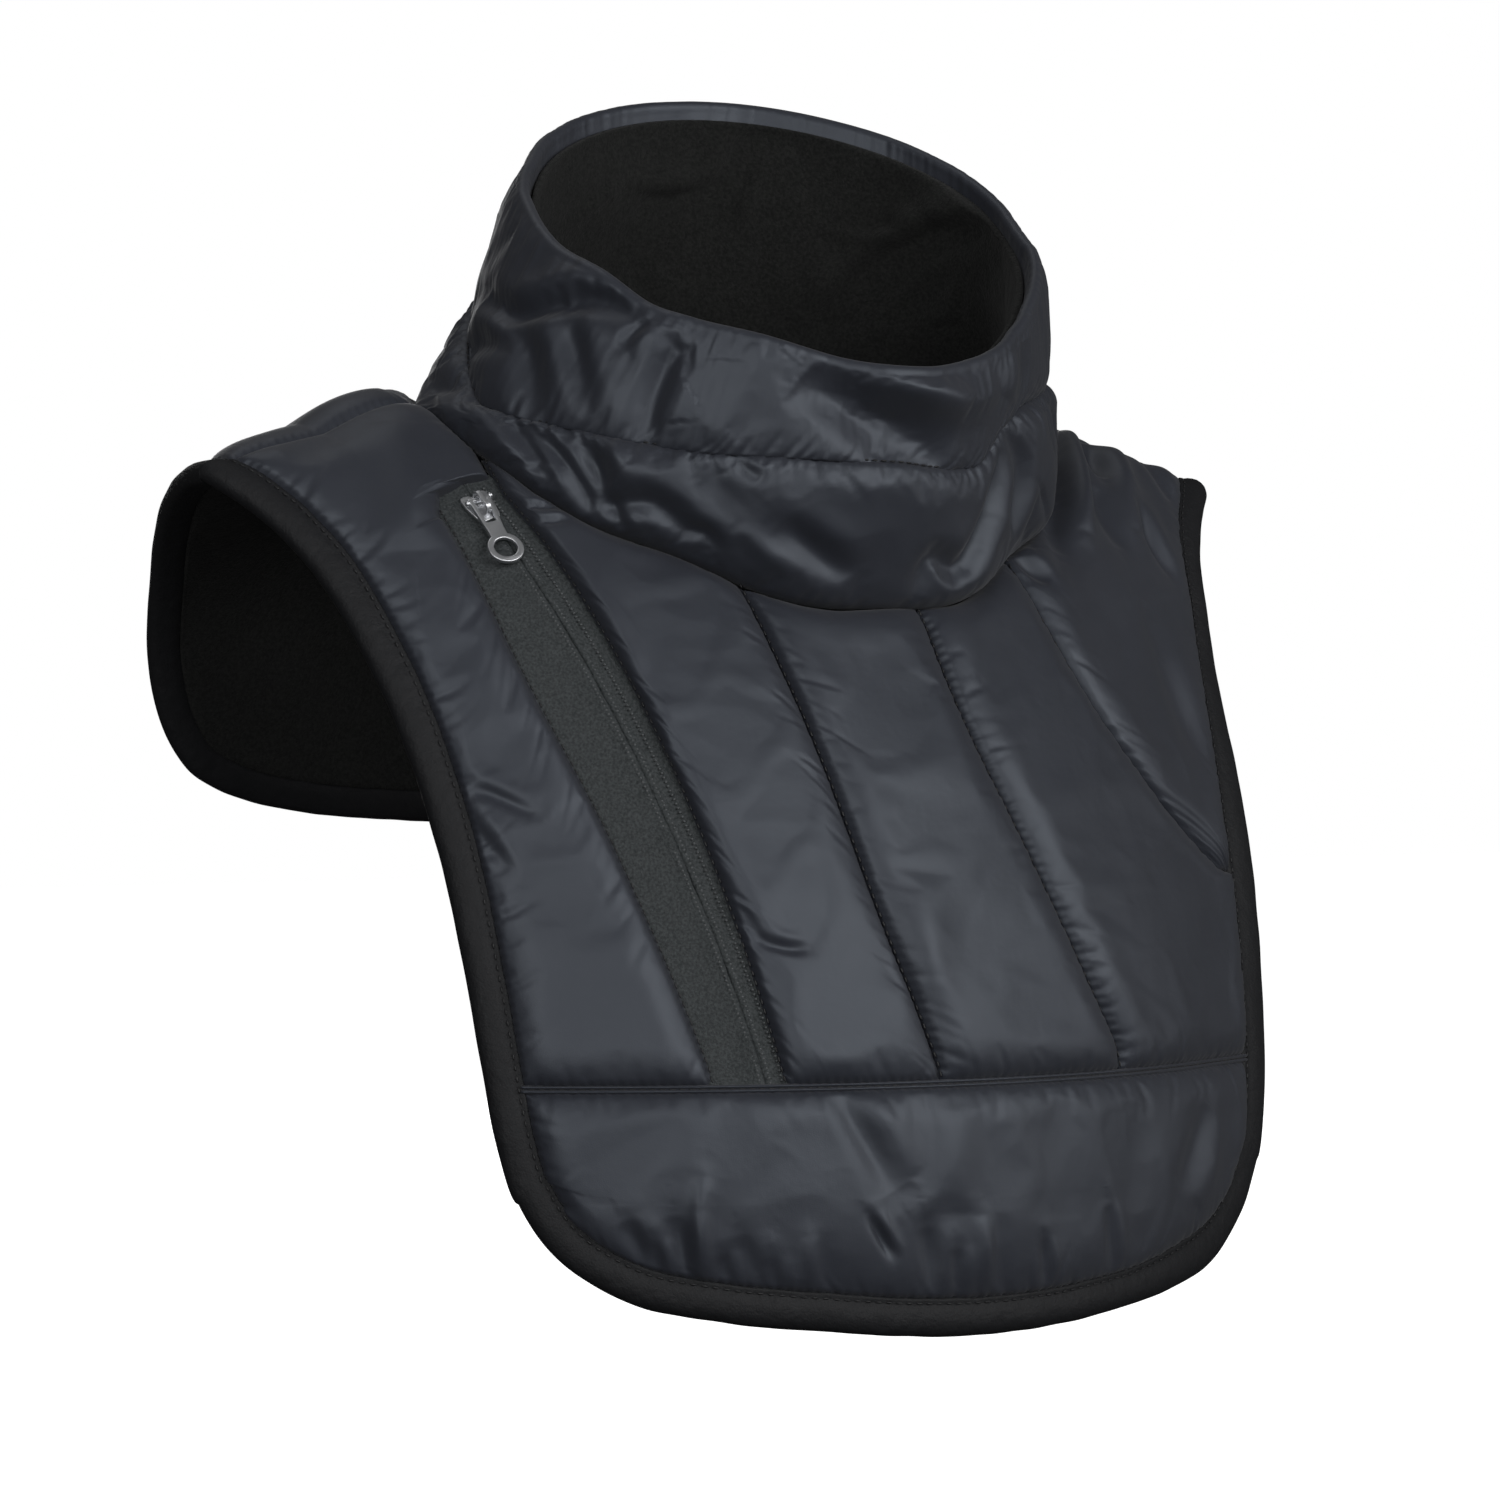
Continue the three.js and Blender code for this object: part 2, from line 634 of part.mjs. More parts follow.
// Fleece lining of the whole bib.
function bodyLining() {
  const { stations, place } = bibRing(LINING_EDGE_GAP);
  const spot = (u, v) => place(Math.round(u * stations), v);
  return slab({
    columns: stations,
    rows: LINING_ROWS,
    outer: (u, v) => lifted(spot(u, v), LINING_OUTSIDE),
    inner: (u, v) => lifted(spot(u, v), LINING_INSIDE),
    ring: true,
  });
}

// Binding: the section below, carried round the edge. Depths run in from the outer edge.
const BINDING_SECTION = [
  { depth: 0, lift: -2.4 },
  { depth: 1, lift: 0.4 },
  { depth: 3.6, lift: 1.6 },
  { depth: 7, lift: 1.4 },
  { depth: 9.5, lift: 0 },
  { depth: 9.5, lift: -4.6 },
  { depth: 4.6, lift: -6.4 },
];

function edgeBinding() {
  const loop = edgeLoop(2);
  const rings = BINDING_SECTION.map((row) => {
    return insetLoop(loop, row.depth).map((spot) => lifted(spot, row.lift));
  });
  const sides = rings.length;
  const points = rings.flat();
  const at = (side, station) => (side % sides) * loop.length + (station % loop.length);
  const triangles = [];
  for (let side = 0; side < sides; side += 1) {
    for (let i = 0; i < loop.length; i += 1) {
      triangles.push([at(side, i), at(side, i + 1), at(side + 1, i + 1)]);
      triangles.push([at(side, i), at(side + 1, i + 1), at(side + 1, i)]);
    }
  }
  return closedGeometry(points, triangles);
}

// Narrow piping in the hem seam, from binding to binding.
function hemPiping() {
  const left = hemEdge(-1, 0);
  const right = hemEdge(1, 0);
  const place = (u, v) => hemPoint(lerp(left[0], right[0], u), (v - 0.5) * PIPING);
  return slab({
    columns: 26,
    rows: 2,
    outer: (u, v) => lifted(place(u, v), SEAM_LIFT + PIPING_RISE * Math.sin(Math.PI * v)),
    inner: (u, v) => lifted(place(u, v), SHELL_INSIDE),
  });
}

// Half of the zip's tape, between two of its lines.
function zipTape(leftRows, rightRows, leftMove, rightMove) {
  const side = (rows, move) => {
    const heading = [rows[1].x - rows[0].x, rows[1].turn - rows[0].turn];
    const top = sideways([rows[0].x, rows[0].turn], heading, move);
    return stepwise([top, ...alongSeam(rows, move), seamFoot(rows, move)]);
  };
  const left = side(leftRows, leftMove);
  const right = side(rightRows, rightMove);
  const place = patch({
    top: straight(left(0), right(0)),
    bottom: (u) => hemPoint(lerp(left(1)[0], right(1)[0], u), aboveHem),
    left,
    right,
  });
  return slab({
    columns: 2,
    rows: SEAM_STEPS,
    outer: (u, v) => lifted(place(u, v), TAPE_OUTSIDE),
    inner: (u, v) => lifted(place(u, v), TAPE_INSIDE),
  });
}

// Ring of the collar at an angle from the throat.
function ringPoint(ring, angleDegrees) {
  const sine = Math.sin(radians(angleDegrees));
  const cosine = Math.cos(radians(angleDegrees));
  const power = 2 / ring.round;
  const middleY = (ring.throatY + ring.napeY) / 2;
  const reachY = (ring.napeY - ring.throatY) / 2;
  const x = ring.halfWidth * Math.sign(sine) * Math.abs(sine) ** power;
  return new THREE.Vector3(
    x + ring.shiftX,
    middleY - reachY * Math.sign(cosine) * Math.abs(cosine) ** power,
    lerp(ring.throatZ, ring.napeZ, ((1 - cosine) / 2) ** ring.climb) + ring.tilt * x,
  );
}

// The collar before it is padded: a rise is 0 at the bib, 1 at the seam between the tiers, 2 at the rim.
function collarLine(angle, rise) {
  const tier = ringPoint(TIER_RING, angle);
  if (rise < 1) return lifted(neckHole(angle), SEAM_LIFT).lerp(tier, rise);
  return tier.lerp(ringPoint(RIM_RING, angle), rise - 1);
}

function collarNormal(angle, rise) {
  const stepAngle = 2;
  const stepRise = 0.05;
  const round = collarLine(angle + stepAngle, rise).sub(collarLine(angle - stepAngle, rise));
  const up = collarLine(angle, rise + stepRise).sub(collarLine(angle, rise - stepRise));
  return round.cross(up).normalize();
}

// Direction through the collar's wall. At a seam it halves the angle between the cloths that meet there.
function wallDirection(angle, rise) {
  const low = collarNormal(angle, 0.5);
  const high = collarNormal(angle, 1.5);
  const foot = low.clone().add(formNormal(...neckHole(angle))).normalize();
  const tier = low.clone().add(high).normalize();
  const bend = (a, b, c, t) => a.multiplyScalar((1 - t) ** 2)
    .addScaledVector(b, 2 * t * (1 - t))
    .addScaledVector(c, t ** 2)
    .normalize();
  return rise < 1 ? bend(foot, low, tier, rise) : bend(tier, high, high.clone(), rise - 1);
}

const collarFolds = COLLAR_FOLDS.map((row) => ({
  from: collarLine(row.fromAngle, row.fromRise),
  to: collarLine(row.toAngle, row.toRise),
  width: row.width,
  height: row.height,
}));

// Point of the collar's wall: a lift from the unpadded collar, with any rise kept clear of the seams.
function collarPoint(angle, rise, lift) {
  return collarLine(angle, rise).addScaledVector(wallDirection(angle, rise), lift);
}

// Share of a tier's height that a distance along it takes, at an angle.
function riseFor(angle, tier, distance) {
  return distance / collarLine(angle, tier).distanceTo(collarLine(angle, tier + 0.999));
}

// One padded tier of the collar. The facing turns the shell in over the rim, past the edge of the fleece.
function collarTier({ tier, puff, sag, columns, rows, facing }) {
  const riseAt = (angle, v) => {
    const low = tier + (tier > 0 ? riseFor(angle, tier, half) : 0);
    const high = tier + 1 - (tier > 0 ? 0 : riseFor(angle, tier, half));
    return lerp(low, high, v);
  };
  const crownAt = (v) => Math.sqrt(Math.max(0, 1 - Math.abs(2 * v ** sag - 1) ** 2.6));
  const inwards = (angle, rise) => {
    const below = (tier + 1 - rise) / riseFor(angle, tier, 1);
    const full = SHELL_WALL + FLEECE_GAP + FLEECE_WALL;
    const past = THREE.MathUtils.clamp(below / RIM_FACING - 0.5, 0, 1);
    return facing ? lerp(full, SHELL_WALL, past) : SHELL_WALL;
  };
  return slab({
    columns,
    rows,
    outer: (u, v) => {
      const angle = 360 * u;
      const rise = riseAt(angle, v);
      const folds = foldHeight(collarLine(angle, rise), collarFolds);
      return collarPoint(angle, rise, crownAt(v) * (puff + folds));
    },
    inner: (u, v) => {
      const angle = 360 * u;
      const rise = riseAt(angle, v);
      return collarPoint(angle, rise, -inwards(angle, rise));
    },
    ring: true,
  });
}

function collarLining() {
  const place = (u, v) => {
    const angle = 360 * u;
    return [angle, lerp(0, 2 - riseFor(angle, 1, 1.5 * RIM_FACING + GAP), v)];
  };
  return slab({
    columns: COLLAR_COLUMNS,
    rows: 6,
    outer: (u, v) => collarPoint(...place(u, v), -SHELL_WALL - FLEECE_GAP),
    inner: (u, v) => collarPoint(...place(u, v), -SHELL_WALL - FLEECE_GAP - FLEECE_WALL),
    ring: true,
  });
}

// Geometry as a solid for joins and cuts, and back.
function toSolid(geometry) {
  const plain = geometry.index ? geometry.clone() : geometry;
  plain.deleteAttribute('normal');
  plain.deleteAttribute('uv');
  const merged = mergeVertices(plain);
  return new wasm.Manifold(new wasm.Mesh({
    numProp: 3,
    vertProperties: new Float32Array(merged.attributes.position.array),
    triVerts: new Uint32Array(merged.index.array),
  }));
}

function toGeometry(solid) {
  const mesh = solid.getMesh();
  const geometry = new THREE.BufferGeometry();
  geometry.setAttribute('position', new THREE.BufferAttribute(new Float32Array(mesh.vertProperties), 3));
  geometry.setIndex(new THREE.BufferAttribute(new Uint32Array(mesh.triVerts), 1));
  geometry.computeVertexNormals();
  return geometry;
}

// Slider: a plate that narrows to its nose, with an arched bridge that holds the pull.
function zipSlider() {
  const { length, width, noseWidth, thickness } = SLIDER;
  const plate = new THREE.Shape();
  plate.moveTo(-noseWidth / 2, -length / 2);
  plate.lineTo(noseWidth / 2, -length / 2);
  plate.lineTo(width / 2, length * 0.1);
  plate.lineTo(width / 2, length * 0.4);
  plate.quadraticCurveTo(width / 2, length / 2, width * 0.3, length / 2);
  plate.lineTo(0, length * 0.36);
  plate.lineTo(-width * 0.3, length / 2);
  plate.quadraticCurveTo(-width / 2, length / 2, -width / 2, length * 0.4);
  plate.lineTo(-width / 2, length * 0.1);
  plate.closePath();
  const base = new THREE.ExtrudeGeometry(plate, { depth: thickness, bevelEnabled: false, curveSegments: 3 });
  const { fromY, toY, height, wall } = BRIDGE;
  const sunk = thickness / 2;
  const arch = new THREE.Shape();
  arch.moveTo(fromY, 0);
  arch.lineTo(fromY, sunk + height * 0.55);
  arch.quadraticCurveTo(fromY, sunk + height, fromY + height * 0.5, sunk + height);
  arch.lineTo(toY - height * 0.5, sunk + height);
  arch.quadraticCurveTo(toY, sunk + height, toY, sunk + height * 0.55);
  arch.lineTo(toY, 0);
  arch.lineTo(toY - wall, 0);
  arch.lineTo(toY - wall, sunk + height * 0.55);
  arch.quadraticCurveTo(toY - wall, sunk + height - wall, toY - height * 0.5, sunk + height - wall);
  arch.lineTo(fromY + height * 0.5, sunk + height - wall);
  arch.quadraticCurveTo(fromY + wall, sunk + height - wall, fromY + wall, sunk + height * 0.55);
  arch.lineTo(fromY + wall, 0);
  arch.closePath();
  const bridge = new THREE.ExtrudeGeometry(arch, {
    depth: BRIDGE.width,
    bevelEnabled: false,
    curveSegments: 4,
  });
  bridge.rotateX(Math.PI / 2);
  bridge.rotateZ(Math.PI / 2);
  bridge.translate(-BRIDGE.width / 2, 0, thickness - sunk);
  return toGeometry(toSolid(base).add(toSolid(bridge)));
}

// Pull: a plate with a slot that the bridge passes through, a round hole, and a stud at each end of its bar.
function zipPull() {
  const { length, ring, hole, head, waist, slot, slotLength, thickness } = PULL;
  const barTop = thickness / 2;
  const ringY = barTop - length + ring / 2;
  const shape = new THREE.Shape();
  shape.moveTo(-head / 2, barTop);
  shape.lineTo(-waist / 2, -slotLength - 3);
  const shoulder = Math.asin((waist / 2) / (ring / 2));
  shape.absarc(0, ringY, ring / 2, Math.PI / 2 + shoulder, Math.PI / 2 - shoulder + 2 * Math.PI, false);
  shape.lineTo(waist / 2, -slotLength - 3);
  shape.lineTo(head / 2, barTop);
  shape.closePath();
  const slotHole = new THREE.Path();
  slotHole.moveTo(-slot / 2, -thickness / 2);
  slotHole.lineTo(-slot * 0.4, -slotLength);
  slotHole.lineTo(slot * 0.4, -slotLength);
  slotHole.lineTo(slot / 2, -thickness / 2);
  slotHole.closePath();
  const roundHole = new THREE.Path();
  roundHole.absarc(0, ringY, hole / 2, 0, 2 * Math.PI, true);
  shape.holes.push(slotHole, roundHole);
  const plate = new THREE.ExtrudeGeometry(shape, { depth: thickness, bevelEnabled: false, curveSegments: 9 });
  plate.translate(0, 0, -thickness / 2);
  plate.rotateZ(radians(HINGE.sway));
  const studs = [-1, 1].map((side) => {
    const stud = new THREE.SphereGeometry(STUD.radius, 10, 6);
    stud.translate(side * STUD.x, 0, 0);
    return toSolid(stud);
  });
  return toGeometry(toSolid(plate).add(studs[0]).add(studs[1]));
}

// Axes of the slider on the zip's middle line.
function sliderFrame() {
  const line = evenly([[ZIP_MIDDLE[0].x, ZIP_MIDDLE[0].turn], ...alongSeam(ZIP_MIDDLE, 0)]);
  const spot = line(SLIDER.along);
  const out = formNormal(...spot);
  const up = form(...line(SLIDER.along - 0.03)).sub(form(...line(SLIDER.along + 0.03)));
  up.addScaledVector(out, -up.dot(out)).normalize();
  const across = up.clone().cross(out);
  const frame = new THREE.Matrix4().makeBasis(across, up, out);
  return frame.setPosition(lifted(spot, TAPE_OUTSIDE + SLIDER.seat));
}

const garment = new THREE.Group();

function add(name, geometry, material, parent = garment) {
  const mesh = new THREE.Mesh(geometry, material);
  mesh.name = name;
  parent.add(mesh);
  return mesh;
}

add('side_panel_right', paddedPanel(7, SEAM_STEPS + 8, 4.5, sidePanelRight()), nylon);
add('front_panel_zip_side', paddedPanel(6, SEAM_STEPS, 5, frontPanelZipSide()), nylon);
add('front_panel_middle', paddedPanel(6, SEAM_STEPS, 5.5, frontPanelMiddle()), nylon);
add('front_panel_outer', paddedPanel(7, SEAM_STEPS, 5, frontPanelOuter()), nylon);
add('shoulder_panel_left', paddedPanel(8, SEAM_C_STEPS + 4, 4.5, shoulderPanelLeft()), nylon);
add('hem_panel', paddedPanel(18, 6, 4.5, hemPanel()), nylon);
add('back_panel', backPanel(4.5), nylon);
add('hem_piping', hemPiping(), nylon);
add('body_lining', bodyLining(), fleece);
add('edge_binding', edgeBinding(), bindingCloth);
add('zip_tape_right', zipTape(ZIP_OUTER, ZIP_MIDDLE, half, -half), tapeCloth);
add('zip_tape_left', zipTape(ZIP_MIDDLE, ZIP_INNER, half, -half), tapeCloth);
const lowerTier = { tier: 0, puff: LOWER_PUFF, sag: 1, columns: COLLAR_COLUMNS, rows: 5, facing: false };
const upperTier = { tier: 1, puff: UPPER_PUFF, sag: 0.75, columns: COLLAR_COLUMNS, rows: 6, facing: true };
add('collar_lower_tier', collarTier(lowerTier), nylon);
add('collar_upper_tier', collarTier(upperTier), nylon);
add('collar_lining', collarLining(), fleece);

const slider = new THREE.Group();
sliderFrame().decompose(slider.position, slider.quaternion, slider.scale);
garment.add(slider);
add('zip_slider', zipSlider(), metal, slider);
const pull = add('zip_pull', zipPull(), metal, slider);
pull.position.set(0, HINGE.y, SLIDER.thickness + HINGE.clearance + PULL.thickness / 2);
pull.rotation.x = radians(HINGE.lean);

export default garment;
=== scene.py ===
import json
import math
import bmesh
import bpy
import numpy as np
from mathutils import Matrix, Vector


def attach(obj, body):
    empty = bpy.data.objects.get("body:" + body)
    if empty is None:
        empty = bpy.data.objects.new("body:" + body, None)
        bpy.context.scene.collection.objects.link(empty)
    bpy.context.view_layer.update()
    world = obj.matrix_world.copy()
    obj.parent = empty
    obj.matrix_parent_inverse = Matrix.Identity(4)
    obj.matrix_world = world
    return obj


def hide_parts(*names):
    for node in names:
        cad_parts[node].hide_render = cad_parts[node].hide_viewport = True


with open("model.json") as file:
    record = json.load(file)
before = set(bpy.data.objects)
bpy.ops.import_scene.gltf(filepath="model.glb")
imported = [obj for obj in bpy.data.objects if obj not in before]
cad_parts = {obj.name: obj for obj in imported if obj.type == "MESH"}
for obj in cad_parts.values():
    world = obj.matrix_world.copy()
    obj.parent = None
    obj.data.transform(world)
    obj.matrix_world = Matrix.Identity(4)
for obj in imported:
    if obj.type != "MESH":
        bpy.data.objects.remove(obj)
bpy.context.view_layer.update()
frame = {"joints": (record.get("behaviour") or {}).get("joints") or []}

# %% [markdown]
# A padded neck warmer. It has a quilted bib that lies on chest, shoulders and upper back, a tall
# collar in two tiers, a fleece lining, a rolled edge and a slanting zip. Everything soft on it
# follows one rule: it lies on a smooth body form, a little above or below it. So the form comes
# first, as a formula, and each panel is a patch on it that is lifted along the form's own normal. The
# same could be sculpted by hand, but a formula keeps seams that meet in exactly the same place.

MM = 0.001
SEED = 7
rng = np.random.default_rng(SEED)

# %% [markdown]
# The form is the shape of the shoulders under the cloth. A place on it is an x, in millimetres, and a
# turn, the angle over the shoulder: 0 on the ridge, -90 where the front comes to hang plumb and +90
# where the back does. Seams can then be drawn flat, as a pattern cutter draws them, and the form
# carries them into space.

# %% The body form
RIDGE = dict(neck_y=50, tip_y=3, fade_x=62, top_z=16, slope=0.18, soft_x=30, neck_rise=30, rise_x=60)
FRONT = dict(reach=145, sweep=0.0026, depth_z=-240, round_neck=1.63, round_edge=1.6, edge_x=150)
BACK = dict(reach=116, sweep=0.0005, depth_z=-118, round=2)
SWAY = dict(from_turn=-25, to_turn=-95, x=4.5, fades_from_x=40, fades_over=80, fades_by=0.9)
LIES_FLAT = dict(from_x=104, from_turn=-38, full_turn=-62, rate=0.0034)


def form(x, turn):
    x, turn = np.broadcast_arrays(np.asarray(x, float), np.asarray(turn, float))
    across = np.abs(x)
    ridge_y = RIDGE["tip_y"] + (RIDGE["neck_y"] - RIDGE["tip_y"]) * np.exp(-((across / RIDGE["fade_x"]) ** 2))
    ridge_z = RIDGE["top_z"] - RIDGE["slope"] * np.hypot(across, RIDGE["soft_x"])
    ridge_z = ridge_z + RIDGE["neck_rise"] * np.exp(-((across / RIDGE["rise_x"]) ** 2))
    forward = turn < 0
    share = np.minimum(1, across / FRONT["edge_x"])
    front_round = FRONT["round_neck"] + (FRONT["round_edge"] - FRONT["round_neck"]) * share
    power = 2 / np.where(forward, front_round, BACK["round"])
    front_reach = -(ridge_y + FRONT["reach"] - FRONT["sweep"] * x * x)
    back_reach = BACK["reach"] - BACK["sweep"] * x * x - ridge_y
    drop = ridge_z - np.where(forward, FRONT["depth_z"], BACK["depth_z"])
    angle = np.radians(np.minimum(np.abs(turn), 90))
    plumb = np.radians(np.maximum(np.abs(turn) - 90, 0))
    out = np.sin(angle) ** power
    down = 1 - np.maximum(np.cos(angle), 0) ** power
    hang = np.clip((turn - SWAY["from_turn"]) / (SWAY["to_turn"] - SWAY["from_turn"]), 0, 1)
    y = ridge_y + np.where(forward, front_reach, back_reach) * out
    flat = np.clip((turn - LIES_FLAT["from_turn"]) / (LIES_FLAT["full_turn"] - LIES_FLAT["from_turn"]), 0, 1)
    y = y - LIES_FLAT["rate"] * np.maximum(x - LIES_FLAT["from_x"], 0) ** 2 * flat * flat * (3 - 2 * flat)
    fade = SWAY["fades_by"] * np.clip((x - SWAY["fades_from_x"]) / SWAY["fades_over"], 0, 1)
    sway = SWAY["x"] * np.sin(np.pi * hang) * (1 - fade)
    return np.stack([x + sway, y, ridge_z - drop * (down + plumb)], -1)


def unit(vectors):
    return vectors / np.maximum(np.linalg.norm(vectors, axis=-1, keepdims=True), 1e-12)


def slopes(x, turn, step=0.5):
    along_x = (form(x + step, turn) - form(x - step, turn)) / (2 * step)
    along_turn = (form(x, turn + step) - form(x, turn - step)) / (2 * step)
    return along_x, along_turn


def form_normal(x, turn):
    along_x, along_turn = slopes(x, turn)
    return unit(np.cross(along_x, along_turn))


def lifted(spots, lift):
    lift = np.asarray(lift, float)
    return form(spots[..., 0], spots[..., 1]) + form_normal(spots[..., 0], spots[..., 1]) * lift[..., None]


print("chest at the middle, mm:", form(0, -80).round())

# %% [markdown]
# The seams are the pattern pieces' edges. Each is a handful of points with a smooth curve through
# them. The outer edge and the neck hole bound the bib, and the other seams cut it into panels.

# %% Pattern lines
EDGE = [
    (0, -98.7), (48, -98.7), (84, -98.3), (110, -96.9), (128.6, -93.4), (136.6, -90),
    (138.6, -88.3), (144, -80), (147.7, -70), (152.3, -56), (156.5, -47), (161.5, -39),
    (167, -31), (174.3, -23.5), (183, -16), (189.5, -8.5),
    (191.5, 2), (187, 18), (179, 36), (171, 52), (165, 67), (157, 79), (146, 87.5), (127, 92.6),
    (98, 95.3), (50, 96), (0, 96),
]
NECK_HOLE = dict(
    half_width=112, throat_turn=-46.5, nape_turn=20, round=2.05, raise_at=34, raise_wide=15, raised=2.6,
)
ZIP_OUTER = [(-126, -24.5), (-120, -42), (-105, -59), (-86, -77.5)]
ZIP_MIDDLE = [(-114.5, -22.3), (-106, -36), (-92, -54), (-71, -78)]
ZIP_INNER = [(-105, -22.6), (-97.5, -34), (-85, -52), (-65, -79)]
ZIP_NOTCH = [(-106, -20.6), (-114.5, -20.7), (-124, -21.8), (-127, -25.5)]
SEAM_A = [(-45, -42), (-41, -50), (-31, -66), (-16, -79)]
SEAM_B = [(14, -45.5), (16, -53.5), (30, -64), (56, -77.5)]
SEAM_C = [(63, -37), (74, -47), (97, -55), (130, -61.3)]
HEM_SEAM_Z = -206
BINDING_WIDTH = 11.5


def spline(points, t, closed=False):
    """Centripetal Catmull-Rom curve through the points, at t from 0 to 1."""
    points = np.asarray(points, float)
    count = len(points)
    place = np.asarray(t, float) * (count if closed else count - 1)
    index = np.floor(place).astype(int)
    if not closed:
        index = np.clip(index, 0, count - 2)
    weight = (place - index)[..., None]
    if closed:
        p0, p1, p2, p3 = (points[(index + k) % count] for k in (-1, 0, 1, 2))
    else:
        padded = np.concatenate([[2 * points[0] - points[1]], points, [2 * points[-1] - points[-2]]])
        p0, p1, p2, p3 = (padded[index + k] for k in (0, 1, 2, 3))
    d0, d1, d2 = (np.sum((b - a) ** 2, -1, keepdims=True) ** 0.25 for a, b in ((p0, p1), (p1, p2), (p2, p3)))
    t1 = ((p1 - p0) / d0 - (p2 - p0) / (d0 + d1) + (p2 - p1) / d1) * d1
    t2 = ((p2 - p1) / d1 - (p3 - p1) / (d1 + d2) + (p3 - p2) / d2) * d1
    c2 = 3 * (p2 - p1) - 2 * t1 - t2
    c3 = 2 * (p1 - p2) + t1 + t2
    return p1 + t1 * weight + c2 * weight**2 + c3 * weight**3


def edge_loop(steps_per_row):
    mirrored = [(-x, turn) for x, turn in reversed(EDGE[1:-1])]
    rows = EDGE + mirrored
    return spline(rows, np.arange(len(rows) * steps_per_row) / (len(rows) * steps_per_row), closed=True)


def nearest(points, spots):
    x, turn = spots[..., 0].copy(), spots[..., 1].copy()
    for _ in range(6):
        along_x, along_turn = slopes(x, turn)
        miss = points - form(x, turn)
        pairs = ((along_x, along_x), (along_x, along_turn), (along_turn, along_turn))
        xx, xt, tt = (np.sum(a * b, -1) for a, b in pairs)
        mx, mt = np.sum(miss * along_x, -1), np.sum(miss * along_turn, -1)
        determinant = xx * tt - xt * xt
        x += (mx * tt - mt * xt) / determinant
        turn += (mt * xx - mx * xt) / determinant
    return np.stack([x, turn], -1)


def sideways(spots, headings, distance):
    along_x, along_turn = slopes(spots[..., 0], spots[..., 1])
    heading = unit(along_x * headings[..., :1] + along_turn * headings[..., 1:])
    left = np.cross(form_normal(spots[..., 0], spots[..., 1]), heading)
    return nearest(form(spots[..., 0], spots[..., 1]) + left * distance, spots)


def inset_loop(loop, distance):
    return sideways(loop, np.roll(loop, -1, 0) - np.roll(loop, 1, 0), distance)


def binding_width(loop):
    """The band is wider where it is pulled flat, down the front on the wearer's left."""
    pulled = np.clip((loop[:, :1] - 60) / 60, 0, 1) * np.clip((-35 - loop[:, 1:]) / 20, 0, 1)
    return BINDING_WIDTH * (1 + 0.4 * pulled)


def neck_hole(angle_degrees):
    angle = np.radians(angle_degrees)
    sine, cosine = np.sin(angle), np.cos(angle)
    power = 2 / NECK_HOLE["round"]
    x = NECK_HOLE["half_width"] * np.sign(sine) * np.abs(sine) ** power
    end = np.where(cosine > 0, NECK_HOLE["throat_turn"], NECK_HOLE["nape_turn"])
    turn = end * np.abs(cosine) ** power
    bent = (np.abs((angle_degrees + 180) % 360 - 180) - NECK_HOLE["raise_at"]) / NECK_HOLE["raise_wide"]
    turn = turn + NECK_HOLE["raised"] * np.exp(-(bent**2))
    return np.stack([x, turn], -1)


def neck_angle_at_x(x):
    sine = (abs(x) / NECK_HOLE["half_width"]) ** (NECK_HOLE["round"] / 2)
    return math.copysign(math.degrees(math.asin(min(1, sine))), x)


def turn_at_height(x, z):
    x = np.asarray(x, float)
    high, low = np.zeros_like(x), np.full_like(x, -90)
    for _ in range(40):
        middle = (high + low) / 2
        above = form(x, middle)[..., 2] > z
        high, low = np.where(above, middle, high), np.where(above, low, middle)
    return np.stack([x, (high + low) / 2], -1)


fine_loop = edge_loop(12)
print("points on the bib's edge:", len(fine_loop))

# %% [markdown]
# A panel is the patch between four of these lines. The grid of a panel is even in real distance along
# its seams, and each grid point knows how far it is from each of the four seams. That distance is
# what padding obeys: nothing at the stitches, full height a finger's width away.

# %% Patches between seams
def lengths_along(points, axis):
    steps = np.linalg.norm(np.diff(points, axis=axis), axis=-1)
    start = np.zeros_like(np.take(steps, [0], axis=axis))
    return np.cumsum(np.concatenate([start, steps], axis=axis), axis=axis)


def evenly(spots, count):
    """The same line in (x, turn), at count places that are equally far apart on the form."""
    spots = np.asarray(spots, float)
    run = lengths_along(form(spots[:, 0], spots[:, 1]), 0)
    wanted = np.linspace(0, run[-1], count)
    return np.stack([np.interp(wanted, run, spots[:, k]) for k in (0, 1)], -1)


def line_between(start, end):
    return np.linspace(start, end, 40)


def patch(top, bottom, left, right, columns, rows):
    """Coons patch in (x, turn): top and bottom run over columns, left and right over rows."""
    top, bottom = evenly(top, columns + 1)[None], evenly(bottom, columns + 1)[None]
    left, right = evenly(left, rows + 1)[:, None], evenly(right, rows + 1)[:, None]
    u = np.linspace(0, 1, columns + 1)[None, :, None]
    v = np.linspace(0, 1, rows + 1)[:, None, None]
    sides = (1 - v) * top + v * bottom + (1 - u) * left + u * right
    corners = (1 - u) * (1 - v) * top[:, :1] + u * (1 - v) * top[:, -1:]
    return sides - corners - (1 - u) * v * bottom[:, :1] - u * v * bottom[:, -1:]


def seam_line(rows, start=None, end=None):
    line = spline(rows, np.linspace(0, 1, 60))
    if start is not None:
        line = np.concatenate([[start], line[1:]])
    if end is not None:
        line = np.concatenate([line[:-1], [end]])
    return line


panel_loop = inset_loop(fine_loop, binding_width(fine_loop) - 0.6)
half_count = len(panel_loop) // 2
halves = {
    1: panel_loop[: half_count + 1],
    -1: np.concatenate([panel_loop[:1], panel_loop[: half_count - 1 : -1]]),
}


